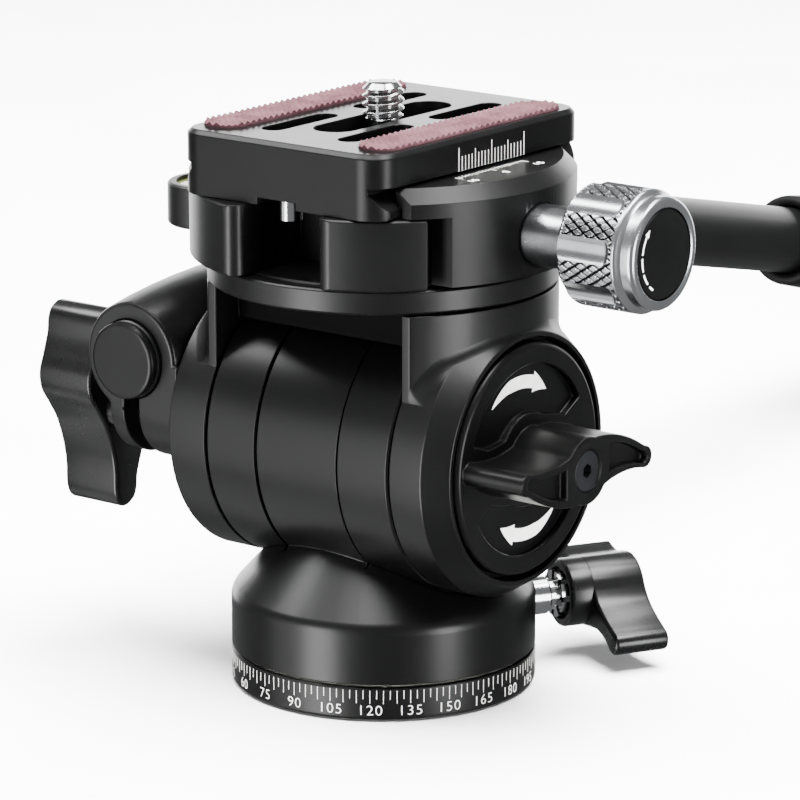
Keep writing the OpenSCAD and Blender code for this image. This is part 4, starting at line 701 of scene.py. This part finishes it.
bend_end = bend_y - tangent + bend_r * droop
mouth = bend_end + 63.5 - tangent
bar_at = np.concatenate([[-20.2, -20.0], np.linspace(-19.0, 92.0, 24), np.linspace(94.0, 116.0, 23),
                         np.linspace(118.0, mouth + 30, 12)])
bar_points = sleeve(bar_at, np.where(bar_at < -20.1, 5.9, 6.1))
bar = piece("bent_bar", bar_points, capped(bar_points), "bar", satin_black)
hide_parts("bar_tube")

grip_t = np.linspace(0, 1, 260)
grip_r = 8.4 + 2.0 * np.sin(np.radians(150) * grip_t)
ribbed = np.clip((grip_t - 0.12) / 0.03, 0, 1) * np.clip((0.9 - grip_t) / 0.03, 0, 1)
grip_r = grip_r - 0.35 * ribbed * np.clip(np.cos(2 * np.pi * grip_t * 24) * 3 - 2, 0, 1)
lip_turn = np.linspace(0, np.pi, 14)
lip_at = 1.1 - 1.1 * np.sin(lip_turn[::-1])
lip_r = 7.3 - 1.1 * np.cos(lip_turn)
grip_at = np.concatenate([[9.0, 3.0], lip_at[:-1], 1.1 + grip_t * 93.7, [95.0, 95.0]])
grip_radius = np.concatenate([[6.12, 6.15], lip_r[:-1], grip_r, [9.0, 4.0]])
grip_points = sleeve(mouth + grip_at, grip_radius)
grip = piece("ribbed_grip", grip_points, capped(grip_points), "bar", grip_rubber, sharp=50.0)
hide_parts("bar_grip")

# %% [markdown]
# ## Dials and painted marks
# Scales are pad-printed: thin white ink that follows the metal. Each tick is a small box,
# copied by arrays to all its places. The numbers come from Blender's own font, are made a
# flat mesh, and are then wrapped on the ring by turning their width into an angle.


# %% Ticks and numbers
def boxes(low, high):
    """One closed box for each row of low and high corners."""
    pick = np.array([[0, 0, 0], [1, 0, 0], [1, 1, 0], [0, 1, 0], [0, 0, 1], [1, 0, 1], [1, 1, 1], [0, 1, 1]])
    points = low[:, None, :] + (high - low)[:, None, :] * pick
    sides = np.array([[0, 3, 2, 1], [4, 5, 6, 7], [0, 1, 5, 4], [1, 2, 6, 5], [2, 3, 7, 6], [3, 0, 4, 7]])
    faces = (np.arange(len(low))[:, None, None] * 8 + sides).reshape(-1, 4)
    return points, faces


def lettering(words, height):
    """Flat outline of a word, centred, as tall as asked: points in millimetres and faces."""
    line = bpy.data.curves.new("line", "FONT")
    line.body = words
    line.align_x = "CENTER"
    line.offset = -0.012
    line.space_character = 1.12
    holder = bpy.data.objects.new("line", line)
    scene.collection.objects.link(holder)
    bpy.context.view_layer.update()
    flat = bpy.data.meshes.new_from_object(holder.evaluated_get(bpy.context.evaluated_depsgraph_get()))
    points = np.empty(len(flat.vertices) * 3)
    flat.vertices.foreach_get("co", points)
    points = points.reshape(-1, 3)[:, :2]
    faces = [list(face.vertices) for face in flat.polygons]
    bpy.data.objects.remove(holder)
    bpy.data.meshes.remove(flat)
    size = height / np.ptp(points[:, 1])
    centred = points - [0, (points[:, 1].max() + points[:, 1].min()) / 2]
    return centred * [1.08 * size, size], faces


def gather(parts):
    """Joins several words into one list of points and one list of faces."""
    offsets = np.cumsum([0] + [len(points) for points, faces in parts])
    points = np.vstack([points for points, faces in parts])
    faces = [[v + start for v in face] for start, (p, fs) in zip(offsets, parts) for face in fs]
    return points, faces


RING_R = 23.5
INK_R = RING_R + 0.03
ZERO_AT = -177.3
TICKS = 144
steps = np.arange(TICKS)
long_tick = steps % 2 == 0
half_width = np.full(TICKS, 0.04)
tick_low = np.column_stack([-half_width, np.full(TICKS, RING_R - 0.02), np.where(long_tick, 2.72, 3.4)])
tick_high = np.column_stack([half_width, np.full(TICKS, INK_R), np.full(TICKS, 4.72)])
tick_points, tick_faces = boxes(tick_low, tick_high)
turn_to = np.radians(steps * 360 / TICKS + ZERO_AT)[:, None]
tick_points = np.stack([tick_points[..., 1] * np.cos(turn_to) - tick_points[..., 0] * np.sin(turn_to),
                        tick_points[..., 1] * np.sin(turn_to) + tick_points[..., 0] * np.cos(turn_to),
                        tick_points[..., 2]], axis=-1)
piece("dial_ticks", tick_points, tick_faces, "base", ink)


def on_ring(words, degrees):
    """A word wrapped on the index ring: its width becomes an angle about the pan axis."""
    points, faces = lettering(words, 1.5)
    at = math.radians(degrees) + points[:, 0] / RING_R
    return np.column_stack([INK_R * np.cos(at), INK_R * np.sin(at), 1.62 + points[:, 1]]), faces


number_points, number_faces = gather([on_ring(str(n), n + ZERO_AT) for n in range(0, 360, 15)])
piece("dial_numbers", number_points, number_faces, "base", ink, outward=False)

# %% [markdown]
# ## Scales of the plate and the jaw
# The plate carries twenty fine divisions, and the jaw a matching row with plain numbers, so
# that a camera can be set back to the same balance. The jaw's scale lies on its flat lip.

# %% Plate and jaw scales
MARK_GAP = 0.81
PLATE_MARK_Z = 82.72
JAW_MARK_X = 20.3
JAW_INK_Z = 82.33
mark = np.arange(21)
mark_y = -6.7 + MARK_GAP * mark
mark_top = np.where(mark % 10 == 0, 3.55, np.where(mark % 5 == 0, 2.9, 2.2))
plate_low = np.column_stack([np.full(21, 19.2), mark_y - 0.065, np.full(21, PLATE_MARK_Z)])
plate_high = np.column_stack([np.full(21, 19.28), mark_y + 0.065, PLATE_MARK_Z + mark_top])
points, faces = boxes(plate_low, plate_high)
piece("plate_scale", points, faces, "plate", ink)
jaw_y = -9.0 + MARK_GAP * mark
jaw_reach = np.where(mark % 10 == 0, 1.5, np.where(mark % 5 == 0, 1.15, 0.8))
jaw_low = np.column_stack([np.full(21, JAW_MARK_X), jaw_y - 0.04, np.full(21, JAW_INK_Z - 0.05)])
jaw_high = np.column_stack([JAW_MARK_X + jaw_reach, jaw_y + 0.04, np.full(21, JAW_INK_Z)])
points, faces = boxes(jaw_low, jaw_high)
piece("jaw_scale", points, faces, "jaw", ink)


def on_jaw(words, y):
    """A word laid on the jaw's lip, read from the knob's side."""
    points, faces = lettering(words, 1.25)
    return np.column_stack([23.6 - points[:, 1], y + points[:, 0], np.full(len(points), JAW_INK_Z)]), faces


points, faces = gather([on_jaw(words, y) for words, y in (("10", -9.0), ("0", -0.9), ("10", 7.2))])
piece("jaw_numbers", points, faces, "jaw", ink, outward=False)

# %% [markdown]
# ## Painted arrows
# Two arrows on the tilt lock show which way it tightens, and the knob's disc has a dashed one.
# An arrow is a strip along an arc: its half-width is a function of the way travelled, which
# swells from the tail to the neck, jumps out for the barbs and falls to nothing at the tip.


# %% Arrows
def arc_strip(radius, angle, half):
    """A flat strip along an arc: two lines of points half a width inside and outside it."""
    spread = np.stack([radius - half, radius + half], axis=-1)
    return np.stack([spread * np.cos(angle)[:, None], spread * np.sin(angle)[:, None]], axis=-1)


body_angle = np.linspace(131, 78, 28)
head_angle = np.linspace(78, 59.5, 10)
body_half = 0.06 + 0.95 * np.clip((131 - body_angle) / 26, 0, 1) ** 0.8
head_half = np.linspace(1.6, 0.02, 10)
arrow_angle = np.radians(np.concatenate([body_angle, head_angle]))
arrow_half = np.concatenate([body_half, head_half])
arrow_r = np.interp(np.degrees(arrow_angle), [59.5, 78, 110, 131], [11.15, 11.6, 12.2, 12.1])
upper = arc_strip(arrow_r, arrow_angle, arrow_half)
both = np.stack([upper, -upper])
arrow_points = np.concatenate([np.full(both.shape[:-1] + (1,), 26.44), both], axis=-1)
arrow_points = arrow_points + [0, 0, TILT_Z]
strip = quads(len(arrow_angle), 2)
arrow_faces = np.vstack([strip, strip + 2 * len(arrow_angle)])[:, ::-1]
piece("tilt_lock_arrows", arrow_points, arrow_faces, "tilt_lock", ink, outward=False)

dash = np.linspace(0, 1, 9)
dash_from = np.array([240.0, 222.0, 198.0, 172.0])
dash_to = np.array([229.0, 203.0, 177.0, 143.0])
dash_angle = np.radians(dash_from[:, None] + (dash_to - dash_from)[:, None] * dash)
DASH_R = 5.55
dash_half = np.full(dash_angle.size, 0.16)
dashes = arc_strip(np.full(dash_angle.size, DASH_R), dash_angle.ravel(), dash_half)
tip_angle = np.radians(np.linspace(143, 132, 6))
tip = arc_strip(np.full(6, DASH_R), tip_angle, np.linspace(0.5, 0.02, 6))
flat = np.vstack([dashes.reshape(-1, 2), tip.reshape(-1, 2)])
dash_faces = [quads(9, 2) + 18 * k for k in range(4)] + [quads(6, 2) + 72]
disc_points = np.column_stack([np.full(len(flat), 51.33), flat[:, 0], KNOB_Z + flat[:, 1]])
piece("knob_arrow", disc_points, np.vstack(dash_faces)[:, ::-1], "clamp_knob", ink, outward=False)

# %% [markdown]
# ## The bubble level
# A circular level is a little acrylic pot of spirit with a domed lens, a black centring ring
# and a bubble under the top. All three are turned shapes, so each is a profile of radius and
# height carried once round.


# %% Bubble level
def turned(profile, centre, columns=72):
    """A profile of radius and height carried round an upright axis."""
    profile = np.asarray(profile, float)
    round_angle = np.linspace(0, 2 * np.pi, columns, endpoint=False)
    flat = profile[:, :1] * np.stack([np.cos(round_angle), np.sin(round_angle)])[:, None, :]
    height = np.repeat(profile[:, 1:], columns, axis=1)
    return np.stack([flat[0] + centre[0], flat[1] + centre[1], height], axis=-1)


LEVEL_AT = (-33.0, 0.0)
dome = np.linspace(0, 1, 10)
lens_profile = np.column_stack([np.concatenate([[5.6, 6.06, 6.06], 6.0 * (1 - dome)]),
                                np.concatenate([[68.4, 68.6, 73.25], 73.3 + 0.35 * (1 - (1 - dome) ** 2)])])
lens_profile[-1, 0] = 0.02
vial_points = turned(lens_profile, LEVEL_AT)
vial = piece("level_lens", vial_points, capped(vial_points), "tilt", spirit)
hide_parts("level_vial")
ring_profile = [[2.5, 73.6], [2.5, 73.66], [2.85, 73.63], [2.85, 73.55], [2.5, 73.6]]
ring_points = turned(ring_profile, LEVEL_AT)
piece("level_ring", ring_points, quads(5, 72, close_columns=True), "tilt", nylon)
bubble_profile = np.column_stack([1.9 * np.cos(dome * np.pi / 2), 73.58 + 0.12 * np.sin(dome * np.pi / 2)])
bubble_profile[-1, 0] = 0.02
bubble_points = turned(bubble_profile, (-32.6, 0.3))
piece("level_bubble", bubble_points, capped(bubble_points), "tilt", bubble_skin)

# %% [markdown]
# ## Floor and light
# The head stands on pale paper under a wide lamp. Black gloss has no colour of its own, so
# what it mirrors is the picture: tall soft boxes in front and at the left draw the streaks on
# the base and the drum, small ones high up light the cone and the tops, and a pale wall behind
# gives the plate its sheen. The paper and the wide lamp are kept out of the mirror, or every
# black would be grey.

# %% Floor and lamps
paper = finish("white_backdrop_paper", ("#f4f4f4", "#fafafa"), (0.85, 0.95), 2.0, 0.002, cloud=60.0)
floor_x, floor_y = np.meshgrid(np.linspace(-4, 4, 9), np.linspace(-4, 4, 9), indexing="ij")
floor_mesh = bpy.data.meshes.new("paper_floor")
floor_points = np.stack([floor_x, floor_y, 0 * floor_x - 0.0003], -1).reshape(-1, 3)
floor_mesh.from_pydata(floor_points, [], quads(9, 9).tolist())
floor_mesh.materials.append(paper)
floor = bpy.data.objects.new("paper_floor", floor_mesh)
scene.collection.objects.link(floor)
floor.visible_glossy = False
floor.visible_shadow = False


def lamp(name, stand, aim, size, watts):
    """A soft rectangular lamp that faces a point; its own -Z axis is the way it shines."""
    light = bpy.data.lights.new(name, "AREA")
    light.shape = "RECTANGLE"
    light.size = size[0]
    light.size_y = size[1]
    light.energy = watts
    made = bpy.data.objects.new(name, light)
    away = np.array(stand) - np.array(aim)
    away = away / np.linalg.norm(away)
    side = np.cross([0, 0, 1.0], away)
    side = side / np.linalg.norm(side)
    turn = np.column_stack([side, np.cross(away, side), away, stand])
    made.matrix_world = Matrix(np.vstack([turn, [0, 0, 0, 1]]).tolist())
    scene.collection.objects.link(made)
    return made


heart = (0.0, 0.0, 0.045)
overhead = lamp("overhead", (0.05, 0.1, 0.95), heart, (1.0, 0.8), 152)
overhead.visible_glossy = False
lamp("front_box", (-0.17, -0.88, -0.14), heart, (0.34, 0.85), 11)
lamp("high_front_box", (-0.06, -0.24, 0.85), heart, (0.6, 0.32), 7)
lamp("high_left_box", (-0.53, -0.2, 0.72), heart, (0.35, 0.3), 5)
lamp("high_right_box", (0.33, 0.12, 0.85), heart, (0.45, 0.3), 9)
lamp("wall_behind", (-0.72, 1.02, 0.1), heart, (2.0, 0.75), 26)
lamp("left_box", (-0.55, -0.7, -0.1), heart, (0.45, 0.7), 1.3)
lamp("low_left_box", (-0.5, -0.3, -0.62), heart, (0.45, 0.45), 0.55)
lamp("high_back_box", (0.0, 0.4, 0.82), heart, (0.3, 0.25), 3)
lamp("right_box", (0.89, -0.08, 0.0), heart, (0.25, 0.5), 6)
world = bpy.data.worlds.new("white_tent")
scene.world = world
world.use_nodes = True
world.node_tree.nodes["Background"].inputs["Color"].default_value = linear("#f2f4f6")
world.node_tree.nodes["Background"].inputs["Strength"].default_value = 0.3
print("lamps:", len(bpy.data.lights))
